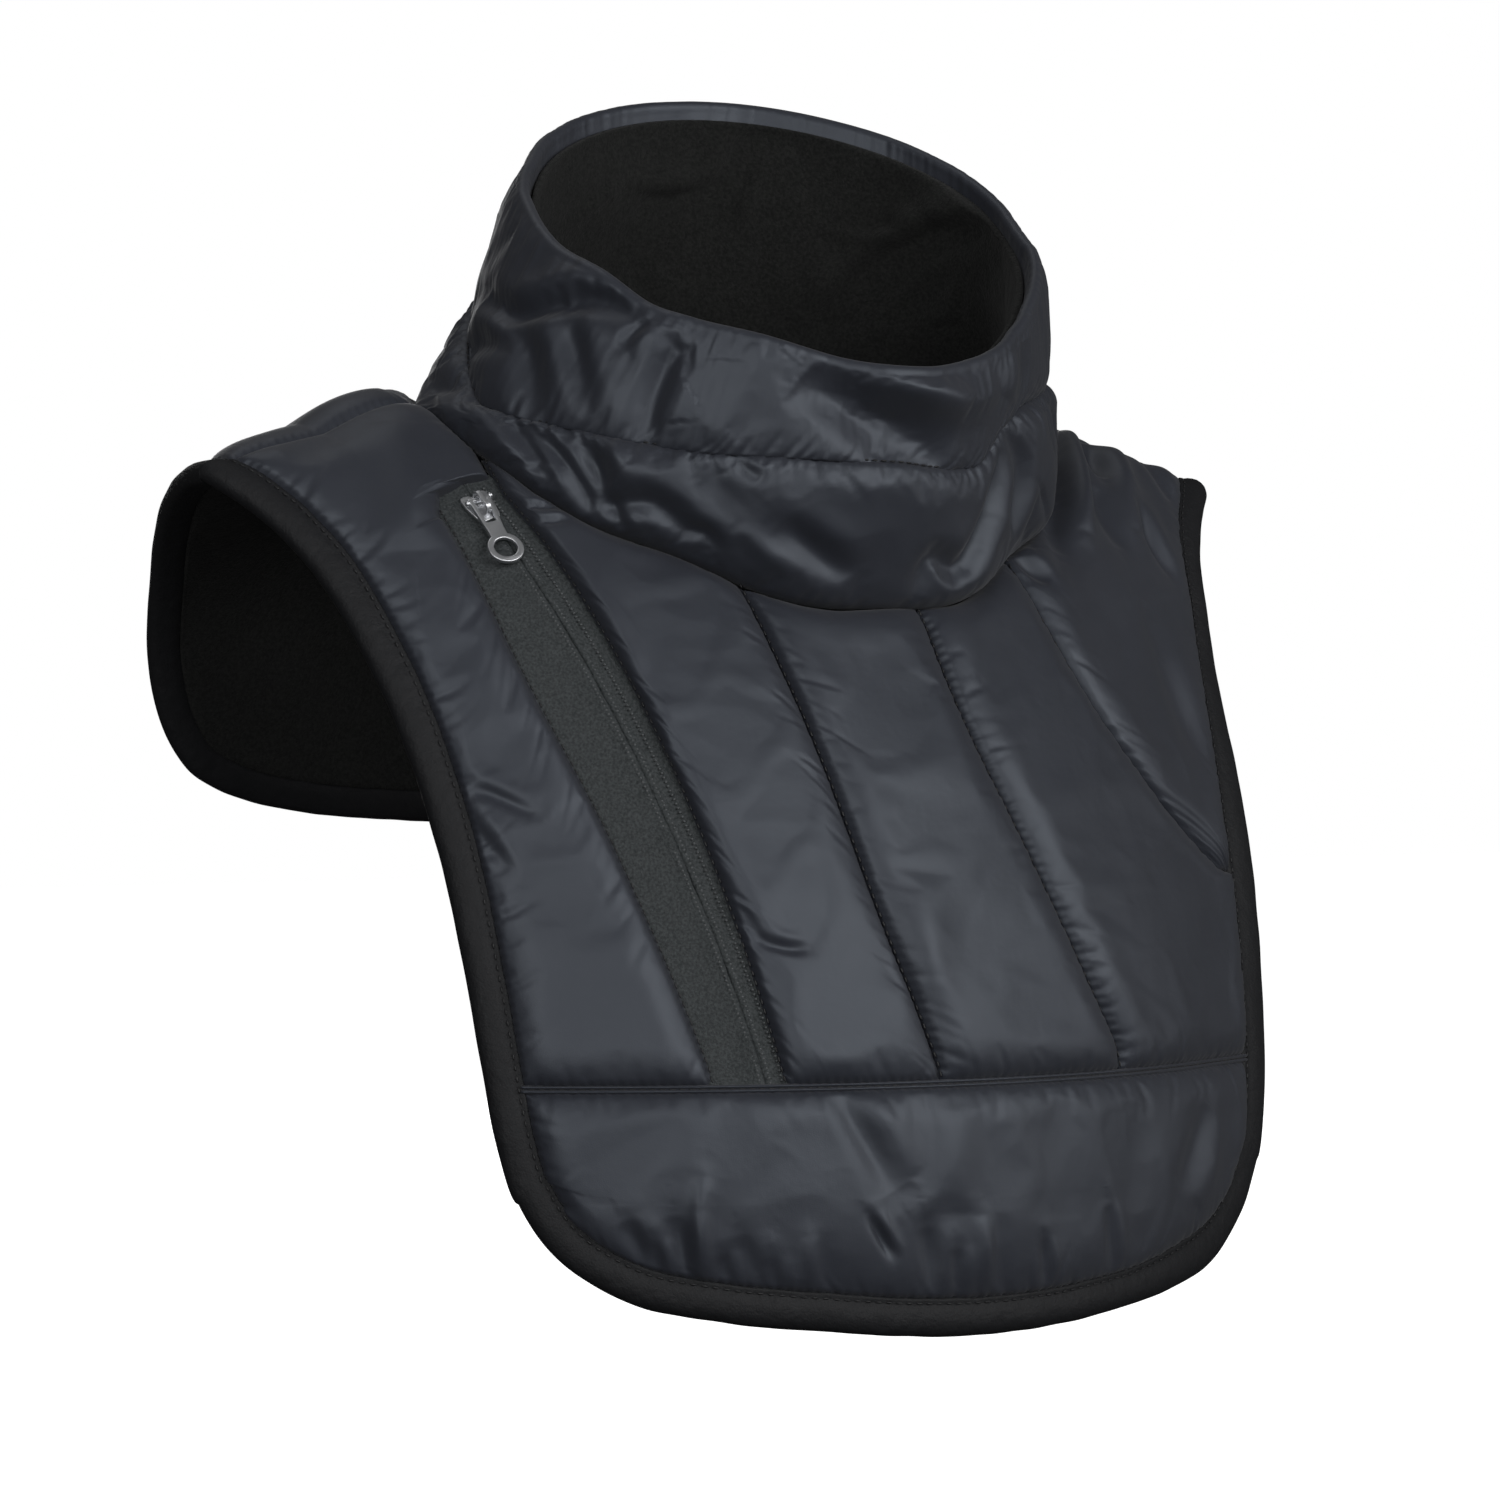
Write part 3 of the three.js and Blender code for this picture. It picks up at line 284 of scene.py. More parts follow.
def panel_edge(side, from_turn, to_turn, count=60):
    turns = np.linspace(from_turn, to_turn, count)
    half = halves[side]
    rising = half[np.argmax(np.diff(half[:, 1]) > 1e-3):]
    rising = rising[: np.argmax(rising[:, 1] > 60)]
    return np.stack([np.interp(turns, rising[:, 1], rising[:, 0]), turns], -1)


def hem_line(from_x, to_x, move=0.0, count=60):
    return turn_at_height(np.linspace(from_x, to_x, count), HEM_SEAM_Z + move)


def hem_corner(side):
    turn = -80.0
    for _ in range(8):
        x = panel_edge(side, turn, turn, 1)[0, 0]
        turn = float(turn_at_height(x, HEM_SEAM_Z)[1])
    return np.array([x, turn])


print("hem seam from x", hem_corner(-1)[0].round(), "to", hem_corner(1)[0].round())

# %% [markdown]
# Cloth pieces are closed bodies: a fine sheet that shows, a coarse sheet behind it and a wall between
# the two. A closed body has a real thickness, so light can't leak through it and it can be measured
# or printed. The hidden side needs few faces, so each of its faces meets several fine ones along the
# wall.

# %% From grids to closed cloth
COARSE = 4
scene_pieces = {}


def mesh_object(name, points, faces, corner_uv=None):
    mesh = bpy.data.meshes.new(name)
    mesh.from_pydata((np.asarray(points) * MM).tolist(), [], faces)
    if corner_uv is not None:
        layer = mesh.uv_layers.new(name="Cloth")
        layer.data.foreach_set("uv", (np.asarray(corner_uv, float) * MM).ravel())
    work = bmesh.new()
    work.from_mesh(mesh)
    bmesh.ops.recalc_face_normals(work, faces=work.faces)
    work.to_mesh(mesh)
    work.free()
    mesh.polygons.foreach_set("use_smooth", [True] * len(mesh.polygons))
    made = bpy.data.objects.new(name, mesh)
    bpy.context.scene.collection.objects.link(made)
    return made


def grid_faces(rows, columns, across, offset=0):
    r, c = np.meshgrid(np.arange(rows), np.arange(columns), indexing="ij")
    corners = [(r, c), (r, c + 1), (r + 1, c + 1), (r + 1, c)]
    index = np.stack([offset + i * across + j % across for i, j in corners], -1).reshape(-1, 4)
    return index, corners


def closed_cloth(name, outer, inner, ring=False):
    """Closed body from a fine outer grid and a coarse inner one, each rows by columns by 3. A ring's grids
    have no repeated last column."""
    rows, across = outer.shape[0] - 1, outer.shape[1]
    columns = across if ring else across - 1
    inner_rows, inner_across = inner.shape[0] - 1, inner.shape[1]
    inner_columns = inner_across if ring else inner_across - 1
    step_c, step_r = columns // inner_columns, rows // inner_rows
    base = outer.shape[0] * across
    front, corners = grid_faces(rows, columns, across)
    back, _ = grid_faces(inner_rows, inner_columns, inner_across, base)
    faces = front.tolist() + back[:, ::-1].tolist()
    wrapped = np.concatenate([outer, outer[:, :1]], 1) if ring else outer
    run_u, run_v = lengths_along(wrapped, 1), lengths_along(wrapped, 0)
    uv = [np.stack([run_u[i, j], run_v[i, j]], -1).reshape(-1, 2) for i, j in corners]
    corner_uv = [np.stack(uv, 1).reshape(-1, 2)]

    def inner_at(i, j):
        return base + i * inner_across + j % inner_across

    def outer_at(i, j):
        return i * across + j % across

    walls = []
    for r, inner_r in ((0, 0), (rows, inner_rows)):
        for c in range(inner_columns):
            edge = [outer_at(r, c * step_c + k) for k in range(step_c + 1)]
            walls.append(edge + [inner_at(inner_r, c + 1), inner_at(inner_r, c)])
    if not ring:
        for c, inner_c in ((0, 0), (columns, inner_columns)):
            for r in range(inner_rows):
                edge = [outer_at(r * step_r + k, c) for k in range(step_r + 1)]
                walls.append(edge + [inner_at(r + 1, inner_c), inner_at(r, inner_c)])
    hidden = 4 * len(back) + sum(len(wall) for wall in walls)
    corner_uv.append(np.zeros((hidden, 2)))
    points = np.concatenate([outer.reshape(-1, 3), inner.reshape(-1, 3)])
    scene_pieces[name] = mesh_object(name, points, faces + walls, np.concatenate(corner_uv))


def rounded(distance, reach, power=2.4, steep=0.5):
    """Quarter of an oval: nothing at a seam, one from the reach on."""
    share = np.clip(distance / reach, 0, 1)
    return (1 - (1 - share) ** power) ** steep


def kept_above(relief, lowest):
    """Soft floor, so a deep fold never reaches the piece behind."""
    return np.logaddexp(relief * 2, lowest * 2) / 2


def distances(points):
    """Distance of each grid point from the grid's four sides, along its rows and columns."""
    run_u, run_v = lengths_along(points, 1), lengths_along(points, 0)
    return dict(left=run_u, right=run_u[:, -1:] - run_u, top=run_v, bottom=run_v[-1:] - run_v)


print("coarse step on hidden sides:", COARSE)

# %% [markdown]
# Nylon over soft padding never lies smooth. Three kinds of relief make it read as cloth. Long folds
# are drawn one by one in a table, because they are what the eye knows the piece by. Small creases run
# in from every seam, where the thread holds the cloth short, and a seeded draw places them. A faint
# crumple covers the rest.

# %% Folds, creases and crumple
def waves(points, size, count, draw):
    """Smooth noise as a sum of plane waves of about one size, in millimetres."""
    directions = unit(draw.normal(size=(count, 3)))
    paces = 2 * np.pi / (size * draw.uniform(0.7, 1.5, count))
    phases = draw.uniform(0, 2 * np.pi, count)
    total = np.zeros(points.shape[:-1])
    for direction, pace, phase in zip(directions, paces, phases):
        total += np.cos(points @ (direction * pace) + phase)
    return total * math.sqrt(2 / count)


def fold_relief(points, normals, folds):
    """Relief of long folds: each runs along a line, is deepest near its middle and has a lip on one side."""
    relief = np.zeros(points.shape[:-1])
    for line, width, height, lip in folds:
        low, high = line.min(0) - 4 * width, line.max(0) + 4 * width
        near = np.all((points > low) & (points < high), -1)
        if not near.any():
            continue
        spots, ups = points[near], normals[near]
        best = np.full(len(spots), 1e9)
        side = np.zeros(len(spots))
        along = np.zeros(len(spots))
        run = lengths_along(line, 0)
        for k in range(len(line) - 1):
            step = line[k + 1] - line[k]
            share = np.clip((spots - line[k]) @ step / (step @ step), 0, 1)
            offset = spots - line[k] - share[:, None] * step
            distance = np.linalg.norm(offset, axis=1)
            closer = distance < best
            best = np.where(closer, distance, best)
            turned = np.sum(offset * np.cross(ups, step / np.linalg.norm(step)), 1)
            side = np.where(closer, turned, side)
            along = np.where(closer, (run[k] + share * (run[k + 1] - run[k])) / run[-1], along)
        taper = np.sin(np.pi * np.clip(along, 0.02, 0.98)) ** 0.6
        across = np.where(side < 0, -best, best) / width
        profile = np.exp(-(across**2)) - lip * np.exp(-(((across - 1.7) / 1.2) ** 2))
        relief[near] += height * taper * profile
    return relief


def creases(run, away, draw, pitch=5.0, height=0.8, length=9.0, width=1.3, slant=0.0):
    """Small dents that run in from a seam: run is the distance along it, away the distance from it."""
    relief = np.zeros(run.shape)
    place = float(run.min())
    while place < run.max():
        place += pitch * draw.uniform(0.5, 1.6)
        reach = length * draw.uniform(0.35, 1.0) ** 1.5 + 2
        thick = width * draw.uniform(0.7, 1.4)
        lean = slant + draw.normal(0, 0.3)
        deep = height * draw.uniform(0.3, 1.0)
        across = (run - place - lean * away) / thick
        near = (np.abs(across) < 3) & (away < 4 * reach)
        dent = np.exp(-(across[near] ** 2)) - 0.45 * np.exp(-((across[near] - 1.9) ** 2))
        fade = np.exp(-((away[near] / reach) ** 2)) * np.clip(away[near] / 1.2, 0.15, 1)
        relief[near] -= deep * dent * fade
    return relief


print("relief comes from waves, fold_relief and creases")

# %% [markdown]
# The long folds of the bib. Each row is listed one by one: on the shoulders the cloth swells and slumps,
# beside the zip it is caught in small pleats, and along the hem the foot is gathered. They could be
# sculpted with a brush, but a row can be moved by two numbers.

# %% The bib's own folds
BIB_FOLDS = [
    # points in (x, turn), width, height, lip
    ([(-128, -8), (-134, -20), (-140, -30)], 9, 2.0, 0.3),
    ([(-122, -4), (-145, -6), (-168, -9)], 8, -1.8, 0.4),
    ([(-142, -52.4), (-134, -53.8), (-125, -55.6)], 2.2, -1.3, 0.3),
    ([(-145, -54.8), (-140, -56.8), (-134, -60)], 2.6, -1.4, 0.3),
    ([(-71, -67), (-64, -68), (-56, -68.6)], 1.8, -1.5, 0.4),
    ([(-76, -64), (-72, -66), (-68, -67.6)], 2.4, -1.2, 0.3),
    ([(-104, -26.6), (-98, -27.4), (-92, -28.2)], 1.2, -1.4, 0.4),
    ([(-101, -29), (-96, -29.5), (-90, -29.8)], 1.2, -1.4, 0.4),
    ([(-28, -75), (-19, -70.7), (-14, -65)], 8, 1.5, 0.2),
    ([(119, -6), (105, -19), (95, -27), (87, -33.6)], 5.5, -6.5, 0.1),
    ([(64, -35), (69, -36.5), (75, -38)], 3.5, -4.0, 0.2),
    ([(137, -2), (134, -11), (131, -17)], 4, -5.5, 0.2),
    ([(130, -3), (114, -20), (104, -30)], 4.5, 6.0, 0.0),
    ([(123, -19), (121, -25), (121, -30)], 5, -3.0, 0.3),
    ([(149, -5), (138, -19), (133, -27)], 5, 3.5, 0.0),
    ([(161, -3), (161.6, -11), (162, -18)], 3.5, -2.4, 0.4),
    ([(139, -20), (140, -27), (143, -32)], 3.5, -2.4, 0.4),
    ([(120, -38), (124, -47), (132, -53)], 7, -2.0, 0.3),
    ([(-52, -79), (-46, -82), (-40, -85), (-34, -88.6)], 4.5, -2.6, 0.4),
    ([(-42, -90.8), (-38, -92.2), (-34, -93.6)], 1.6, -2.4, 0.4),
    ([(-110, -91), (-105, -93.4), (-101, -96)], 3.0, -2.4, 0.4),
    ([(-102, -92.4), (-100, -94.2), (-98, -96.4)], 2.2, -2.2, 0.5),
    ([(-97, -90.6), (-94.5, -93.6), (-92.5, -96.4)], 3.4, -2.4, 0.4),
    ([(-90, -86), (-90, -91), (-88, -96.6)], 3, 2.2, 0.2),
    ([(-84, -93.4), (-82, -95), (-80, -96.8)], 2.6, -2.2, 0.4),
    ([(-79, -92), (-76, -94.4), (-73, -97)], 3.4, -2.0, 0.4),
    ([(-70, -93.6), (-69, -95), (-67, -97)], 2.4, -2.2, 0.4),
    ([(-60, -92), (-58, -94.6), (-55, -97)], 2.6, 1.8, 0.3),
    ([(-24, -91.6), (-21, -94.2), (-20, -96.6)], 3.2, -2.4, 0.4),
    ([(-14, -93), (-12.5, -94.8), (-11, -96.6)], 2.4, -2.2, 0.4),
    ([(-5, -91), (-3, -94), (0, -96.8)], 3, 1.8, 0.3),
    ([(18, -92.8), (20, -94.6), (22, -96.6)], 2, -1.8, 0.5),
    ([(44, -91), (47, -93.6), (50, -96.4)], 2.6, -1.8, 0.4),
    ([(97, -81.6), (90, -86), (80, -91)], 6, -2.4, 0.4),
    ([(21, -80.8), (24, -86), (27, -92)], 10, -1.0, 0.2),
    ([(58, -81), (58, -86), (55, -92)], 10, -1.0, 0.2),
    ([(-15, -81), (-15, -86), (-14, -91)], 8, 1.4, 0.2),
]
SHOULDER_SWELLS = [
    ((-104, 7), (-150, 6), 24, 9.5),
    ((-98, 12), (-116, 9), 20, 4),
    ((112, 5), (150, 4), 18, 4.5),
]


def drawn_folds(table):
    return [
        (form(*spline(points, np.linspace(0, 1, 14)).T), width, height, lip)
        for points, width, height, lip in table
    ]


def swell(points):
    total = np.zeros(points.shape[:-1])
    for start, end, width, height in SHOULDER_SWELLS:
        start, end = form(*start), form(*end)
        line = end - start
        share = np.clip((points - start) @ line / (line @ line), 0, 1)
        distance = np.linalg.norm(points - start - share[..., None] * line, axis=-1)
        total += height * np.exp(-((distance / width) ** 2)) * (0.35 + 0.65 * np.sin(np.pi * share))
    return total


bib_folds = drawn_folds(BIB_FOLDS)
print("long folds on the bib:", len(bib_folds))

# %% [markdown]
# Drawn relief alone looks carved. So each panel is then settled by Blender's cloth solver: its seams
# are pinned, the padding presses out and the cloth is a few percent too large, as in real gathered
# work. It buckles by itself. The solver runs on every second grid point, and its movement is capped,
# so the seams stay closed.

# %% Settling the cloth
SETTLE_FRAMES = 16
MOST_SIDEWAYS = 2.2
MOST_OUT = 3.2
MOST_IN = 1.0


def between(values, axis, ring=False):
    """The same values with a smooth new one between each two along an axis."""
    v = np.moveaxis(values, axis, 0)
    if ring:
        wide = np.concatenate([v[-1:], v, v[:2]])
    else:
        wide = np.concatenate([2 * v[:1] - v[1:2], v, 2 * v[-1:] - v[-2:-1]])
    middles = (9 * (wide[1:-2] + wide[2:-1]) - wide[:-3] - wide[3:]) / 16
    both = np.empty((len(v) + len(middles), *v.shape[1:]))
    both[0::2], both[1::2] = v, middles
    return np.moveaxis(both, 0, axis)


def settled(points, normals, slack=0.006, bend=6.0, share=0.4, ring=False):
    coarse = points[::2, ::2]
    rows, across = coarse.shape[0], coarse.shape[1]
    faces, _ = grid_faces(rows - 1, across if ring else across - 1, across)
    mesh = bpy.data.meshes.new("settling")
    mesh.from_pydata((coarse.reshape(-1, 3) * MM).tolist(), [], faces.tolist())
    sheet = bpy.data.objects.new("settling", mesh)
    bpy.context.scene.collection.objects.link(sheet)
    pinned = np.zeros((rows, across), bool)
    pinned[[0, -1]] = True
    if not ring:
        pinned[:, [0, -1]] = True
    sheet.vertex_groups.new(name="seams").add(np.flatnonzero(pinned.ravel()).tolist(), 1.0, "REPLACE")
    cloth = sheet.modifiers.new("Cloth", "CLOTH")
    how = cloth.settings
    how.quality = 6
    how.mass = 0.2
    how.tension_stiffness = how.compression_stiffness = 12
    how.shear_stiffness = 6
    how.bending_stiffness = bend
    how.use_pressure = True
    how.uniform_pressure_force = 4.0
    how.shrink_min = how.shrink_max = -slack
    how.vertex_group_mass = "seams"
    how.effector_weights.gravity = 0
    cloth.point_cache.frame_start, cloth.point_cache.frame_end = 1, SETTLE_FRAMES
    for frame_number in range(1, SETTLE_FRAMES + 1):
        bpy.context.scene.frame_set(frame_number)
    moved = np.empty(rows * across * 3)
    result = sheet.evaluated_get(bpy.context.evaluated_depsgraph_get()).to_mesh()
    result.vertices.foreach_get("co", moved)
    bpy.data.objects.remove(sheet)
    bpy.context.scene.frame_set(1)
    shift = moved.reshape(rows, across, 3) / MM - coarse
    ups = normals[::2, ::2]
    out = np.sum(shift * ups, -1, keepdims=True)
    aside = shift - out * ups
    aside_length = np.maximum(np.linalg.norm(aside, axis=-1, keepdims=True), 1e-9)
    aside = aside * np.minimum(1, MOST_SIDEWAYS / aside_length)
    shift = share * (aside + np.clip(out, -MOST_IN, MOST_OUT) * ups)
    return points + between(between(shift, 0), 1, ring)


print("the cloth settles over", SETTLE_FRAMES, "frames")

# %% [markdown]
# One function pads any panel: it lifts the grid by the padding, adds the three kinds of relief and
# closes the body. Real padding is squeezed flat at its seams and some 5 mm high in the middle. Where
# the seam is stitched, the thread pulls a row of small dents.

# %% Padding a panel
SEAM_LIFT = 0.3
SHELL_INSIDE = -2.3
SEAM_SINK = 1.3
PAD_REACH = 14.0
PAD_STEEP = 0.72
CRUMPLE = 0.16
DEEPEST = -1.2
STITCH_PITCH = 3.0
STITCH_DENT = 0.8


def padded_panel(name, grid, puff, crease_sides, bottom_reach=PAD_REACH):
    """Padded cloth on a grid in (x, turn). puff is its height, crease_sides how creased each seam is."""
    flat = lifted(grid, 0)
    normals = form_normal(grid[..., 0], grid[..., 1])
    gap = distances(flat)
    held = np.ones(grid.shape[:-1])
    for side in gap:
        held = held * rounded(gap[side], bottom_reach if side == "bottom" else PAD_REACH, steep=PAD_STEEP)
    lift = SEAM_LIFT + swell(flat) + held * (puff + fold_relief(flat, normals, bib_folds))
    lift -= SEAM_SINK * np.exp(-((np.minimum.reduce(list(gap.values())) / 1.1) ** 2))
    lift = kept_above(lift, DEEPEST)
    for side, strength in crease_sides.items():
        run = gap["top"] if side in ("left", "right") else gap["left"]
        lift += creases(run, gap[side], rng, height=0.55 * strength, pitch=6.0)
        pulled = np.cos(np.pi * run / STITCH_PITCH) ** 2
        lift -= STITCH_DENT * pulled * np.exp(-(((gap[side] - 1.0) / 0.9) ** 2))
    noise = waves(flat, 34, 24, rng) + 0.5 * (1 - np.abs(waves(flat, 22, 24, rng)))
    lift += CRUMPLE * noise * np.clip(held * 1.4, 0, 1)
    inner = lifted(grid[::COARSE, ::COARSE], SHELL_INSIDE)
    closed_cloth(name, settled(flat + normals * lift[..., None], normals), inner)


print("padding reaches its height", PAD_REACH, "mm from a seam")

# %% [markdown]
# Panels that meet must share a seam point by point, so each seam is drawn once here and both its
# panels take it. A seam starts on the neck hole and ends on the hem seam or on the edge.

# %% Seams from the neck hole to the hem
def hole(from_angle, to_angle, count=40):
    return neck_hole(np.linspace(from_angle, to_angle, count))


def foot(rows):
    """Where a seam meets the hem seam."""
    return turn_at_height(rows[-1][0], HEM_SEAM_Z)


angle_a, angle_b, angle_c = (neck_angle_at_x(rows[0][0]) for rows in (SEAM_A, SEAM_B, SEAM_C))
angle_zip = neck_angle_at_x(ZIP_INNER[0][0])
seam_a = seam_line(SEAM_A, neck_hole(angle_a), foot(SEAM_A))
seam_b = seam_line(SEAM_B, neck_hole(angle_b), foot(SEAM_B))
seam_c = seam_line(SEAM_C, neck_hole(angle_c))
zip_inner = seam_line(ZIP_INNER, neck_hole(angle_zip), foot(ZIP_INNER))
zip_outer = seam_line(ZIP_OUTER, None, foot(ZIP_OUTER))
corner_left, corner_right = hem_corner(-1), hem_corner(1)
seam_c_end = seam_c[-1, 1]
seam_c = np.concatenate([seam_c[:-1], panel_edge(1, seam_c_end, seam_c_end, 1)])


def hem_between(start, end):
    return hem_line(start[0], end[0])


hem_ends_at = [round(float(line[-1, 0])) for line in (zip_outer, zip_inner, seam_a, seam_b)]
print("seams meet the hem at x", hem_ends_at)

# %% [markdown]
# Now the chest and shoulders. The zip splits the chest, so a long panel runs down outside it and
# three short ones lie inside it, with one more over the far shoulder. Each is cut, padded and settled
# by the same function.

# %% Chest and shoulder panels
side_grid = patch(
    line_between(panel_edge(-1, 0, 0, 1)[0], neck_hole(-90.0)),
    hem_between(corner_left, foot(ZIP_OUTER)),
    panel_edge(-1, 0, corner_left[1]),
    np.concatenate([hole(-90, neck_angle_at_x(ZIP_NOTCH[0][0])), ZIP_NOTCH, zip_outer[1:]]),
    columns=80, rows=320,
)
padded_panel("side_panel_right_padded", side_grid, 4.2, dict(left=0.7, right=0.5, bottom=0.5))
zip_side_grid = patch(
    hole(angle_zip, angle_a), hem_between(foot(ZIP_INNER), foot(SEAM_A)), zip_inner, seam_a,
    columns=80, rows=220,
)
padded_panel("front_panel_zip_side_padded", zip_side_grid, 4.8, dict(left=0.8, right=0.6, bottom=0.6))
middle_grid = patch(
    hole(angle_a, angle_b), hem_between(foot(SEAM_A), foot(SEAM_B)), seam_a, seam_b,
    columns=84, rows=200,
)
padded_panel("front_panel_middle_padded", middle_grid, 5.2, dict(left=0.6, right=0.6, bottom=0.6))
outer_right = np.concatenate([seam_c, panel_edge(1, seam_c_end, corner_right[1])[1:]])
outer_grid = patch(
    hole(angle_b, angle_c), hem_between(foot(SEAM_B), corner_right), seam_b, outer_right,
    columns=96, rows=220,
)
padded_panel("front_panel_outer_padded", outer_grid, 4.8, dict(left=0.6, right=0.7, bottom=0.6))
shoulder_left = np.concatenate([hole(90, angle_c), seam_c[1:]])
shoulder_grid = patch(
    line_between(shoulder_left[0], panel_edge(1, 0, 0, 1)[0]),
    line_between(shoulder_left[-1], seam_c[-1] + [0.001, 0]),
    shoulder_left,
    panel_edge(1, 0, seam_c_end),
    columns=96, rows=200,
)
padded_panel("shoulder_panel_left_padded", shoulder_grid, 4.2, dict(left=0.7, right=0.7))
print("chest and shoulder panels:", len(scene_pieces))

# %% [markdown]
# The hem panel closes the foot of the chest with one wide band. Its padding rises slowly from the
# bottom, where the binding squeezes it, and its lower edge follows the bib's outline.

# %% Hem panel
HEM_TURN = -91.0
left_foot, right_foot = (halves[side][halves[side][:, 1] < HEM_TURN] for side in (-1, 1))
left_foot, right_foot = left_foot[left_foot[:, 0] < 0], right_foot[right_foot[:, 0] >= 0]
hem_ends = [panel_edge(side, HEM_TURN, HEM_TURN, 1) for side in (-1, 1)]
hem_foot = np.concatenate([hem_ends[0], left_foot[::-1], right_foot, hem_ends[1]])
hem_grid = patch(
    hem_between(corner_left, corner_right),
    hem_foot,
    panel_edge(-1, corner_left[1], HEM_TURN),
    panel_edge(1, corner_right[1], HEM_TURN),
    columns=300, rows=88,
)
hem_creases = dict(top=0.7, bottom=0.9, left=0.6, right=0.6)
padded_panel("hem_panel_padded", hem_grid, 4.6, hem_creases, bottom_reach=26)
print("hem panel is", round(float(distances(lifted(hem_grid, 0))["right"][0, 0])), "mm long at its seam")

# %% [markdown]
# The back is one wide panel, from shoulder seam to shoulder seam. It is the same patch idea, bent
# round the nape: its top is the back half of the neck hole and its foot the back half of the outer
# edge.

# %% Back panel
behind = panel_loop[panel_loop[:, 1] > 0]
back_foot = np.concatenate([panel_edge(1, 0, 0, 1), behind, panel_edge(-1, 0, 0, 1)])
back_grid = patch(
    hole(90, 270, 160),
    back_foot,
    line_between(neck_hole(90.0), back_foot[0]),
    line_between(neck_hole(-90.0), back_foot[-1]),
    columns=360, rows=112,
)
padded_panel("back_panel_padded", back_grid, 4.2, dict(top=0.6, bottom=0.7, left=0.5, right=0.5))
print("back panel foot is", round(float(lengths_along(form(*back_foot.T), 0)[-1])), "mm long")

# %% [markdown]
# The lining is a ring of fleece, from the neck hole out to the edge. Fleece is thick and soft, so it
# shows only wide, shallow waves. What shows is its inside, so here the fine sheet is the inner one.

# %% Fleece lining of the bib
LINING_INSIDE = -5.5
LINING_OUTSIDE = -3.5
LOOP_STEPS = 12


def ring_grid(loop, rows):
    """Ruled ring in (x, turn) from the neck hole to a loop that has LOOP_STEPS points for each edge row."""
    row = np.arange(len(loop)) / LOOP_STEPS
    total = len(loop) / LOOP_STEPS
    tip = next(k for k, (_, turn) in enumerate(EDGE) if turn > 0)
    mirrored = np.minimum(row, total - row)
    angle = np.interp(mirrored, [0, tip, total / 2], [0, 90, 180])
    inner = neck_hole(np.where(row > total / 2, -angle, angle))
    v = np.linspace(0, 1, rows + 1)[:, None, None]
    return inner[None] * (1 - v) + loop[None] * v


lining_loop = inset_loop(edge_loop(LOOP_STEPS), binding_width(edge_loop(LOOP_STEPS)) - 1.5)
lining_grid = ring_grid(lining_loop, 72)
lining_flat = lifted(lining_grid, LINING_INSIDE)
lining_normals = form_normal(lining_grid[..., 0], lining_grid[..., 1])
lining_wave = 0.9 * waves(lining_flat, 60, 20, rng) + 0.35 * (1 - np.abs(waves(lining_flat, 30, 20, rng)))
lining_edge = np.minimum(*[distances(lining_flat)[side] for side in ("top", "bottom")])
lining_wave = lining_wave * rounded(lining_edge, 20) - 0.6
lining_back = lifted(lining_grid[::COARSE, ::COARSE], LINING_OUTSIDE)
lining_face = lining_flat + lining_normals * lining_wave[..., None]
closed_cloth("body_lining_fleece", lining_face, lining_back, ring=True)
print("lining faces:", len(scene_pieces["body_lining_fleece"].data.polygons))

# %% [markdown]
# A soft band is folded round the whole edge. It is one section swept round the outline, so the
# section is drawn once, as depth in from the edge and lift off the form, and carried to every place
# on the loop.

# %% Rolled edge binding
BINDING_SECTION = [
    # depth, lift
    (0.0, -2.4), (0.8, 0.2), (3.2, 1.7), (6.4, 1.6), (8.3, 0.75), (9.6, 0.9), (10.2, -1.5),
    (9.6, -4.6), (6.6, -6.3), (3.2, -5.7), (0.8, -4.6),
]
SECTION_POINTS = 26
BINDING_SECTION_WIDTH = 9.5
binding_loop = edge_loop(24)
section = spline(BINDING_SECTION, np.arange(SECTION_POINTS) / SECTION_POINTS, closed=True)
section_scale = binding_width(binding_loop) / BINDING_SECTION_WIDTH
binding_points = np.stack([
    lifted(inset_loop(binding_loop, depth * section_scale), lift) for depth, lift in section
])
binding_core = binding_points.mean(0, keepdims=True)
binding_points += unit(binding_points - binding_core) * (0.08 * waves(binding_points, 16, 20, rng))[..., None]
quads, _ = grid_faces(SECTION_POINTS, len(binding_loop), len(binding_loop))
quads = quads % (SECTION_POINTS * len(binding_loop))
binding_closed = np.concatenate([binding_points, binding_points[:1]], 0)
binding_closed = np.concatenate([binding_closed, binding_closed[:, :1]], 1)
_, corners = grid_faces(SECTION_POINTS, len(binding_loop), len(binding_loop) + 1)
run_u, run_v = lengths_along(binding_closed, 1), lengths_along(binding_closed, 0)
binding_uv = np.stack([np.stack([run_u[i, j], run_v[i, j]], -1).reshape(-1, 2) for i, j in corners], 1)
scene_pieces["edge_binding_rolled"] = mesh_object(
    "edge_binding_rolled", binding_points.reshape(-1, 3), quads.tolist(), binding_uv.reshape(-1, 2),
)
print("binding is", round(float(run_u[0, -1])), "mm long")

# %% [markdown]
# Between the chest and the hem panel runs a narrow double piping. The zip beside it is two woven
# tapes that meet over a hidden coil, so each tape rises a little where they meet.

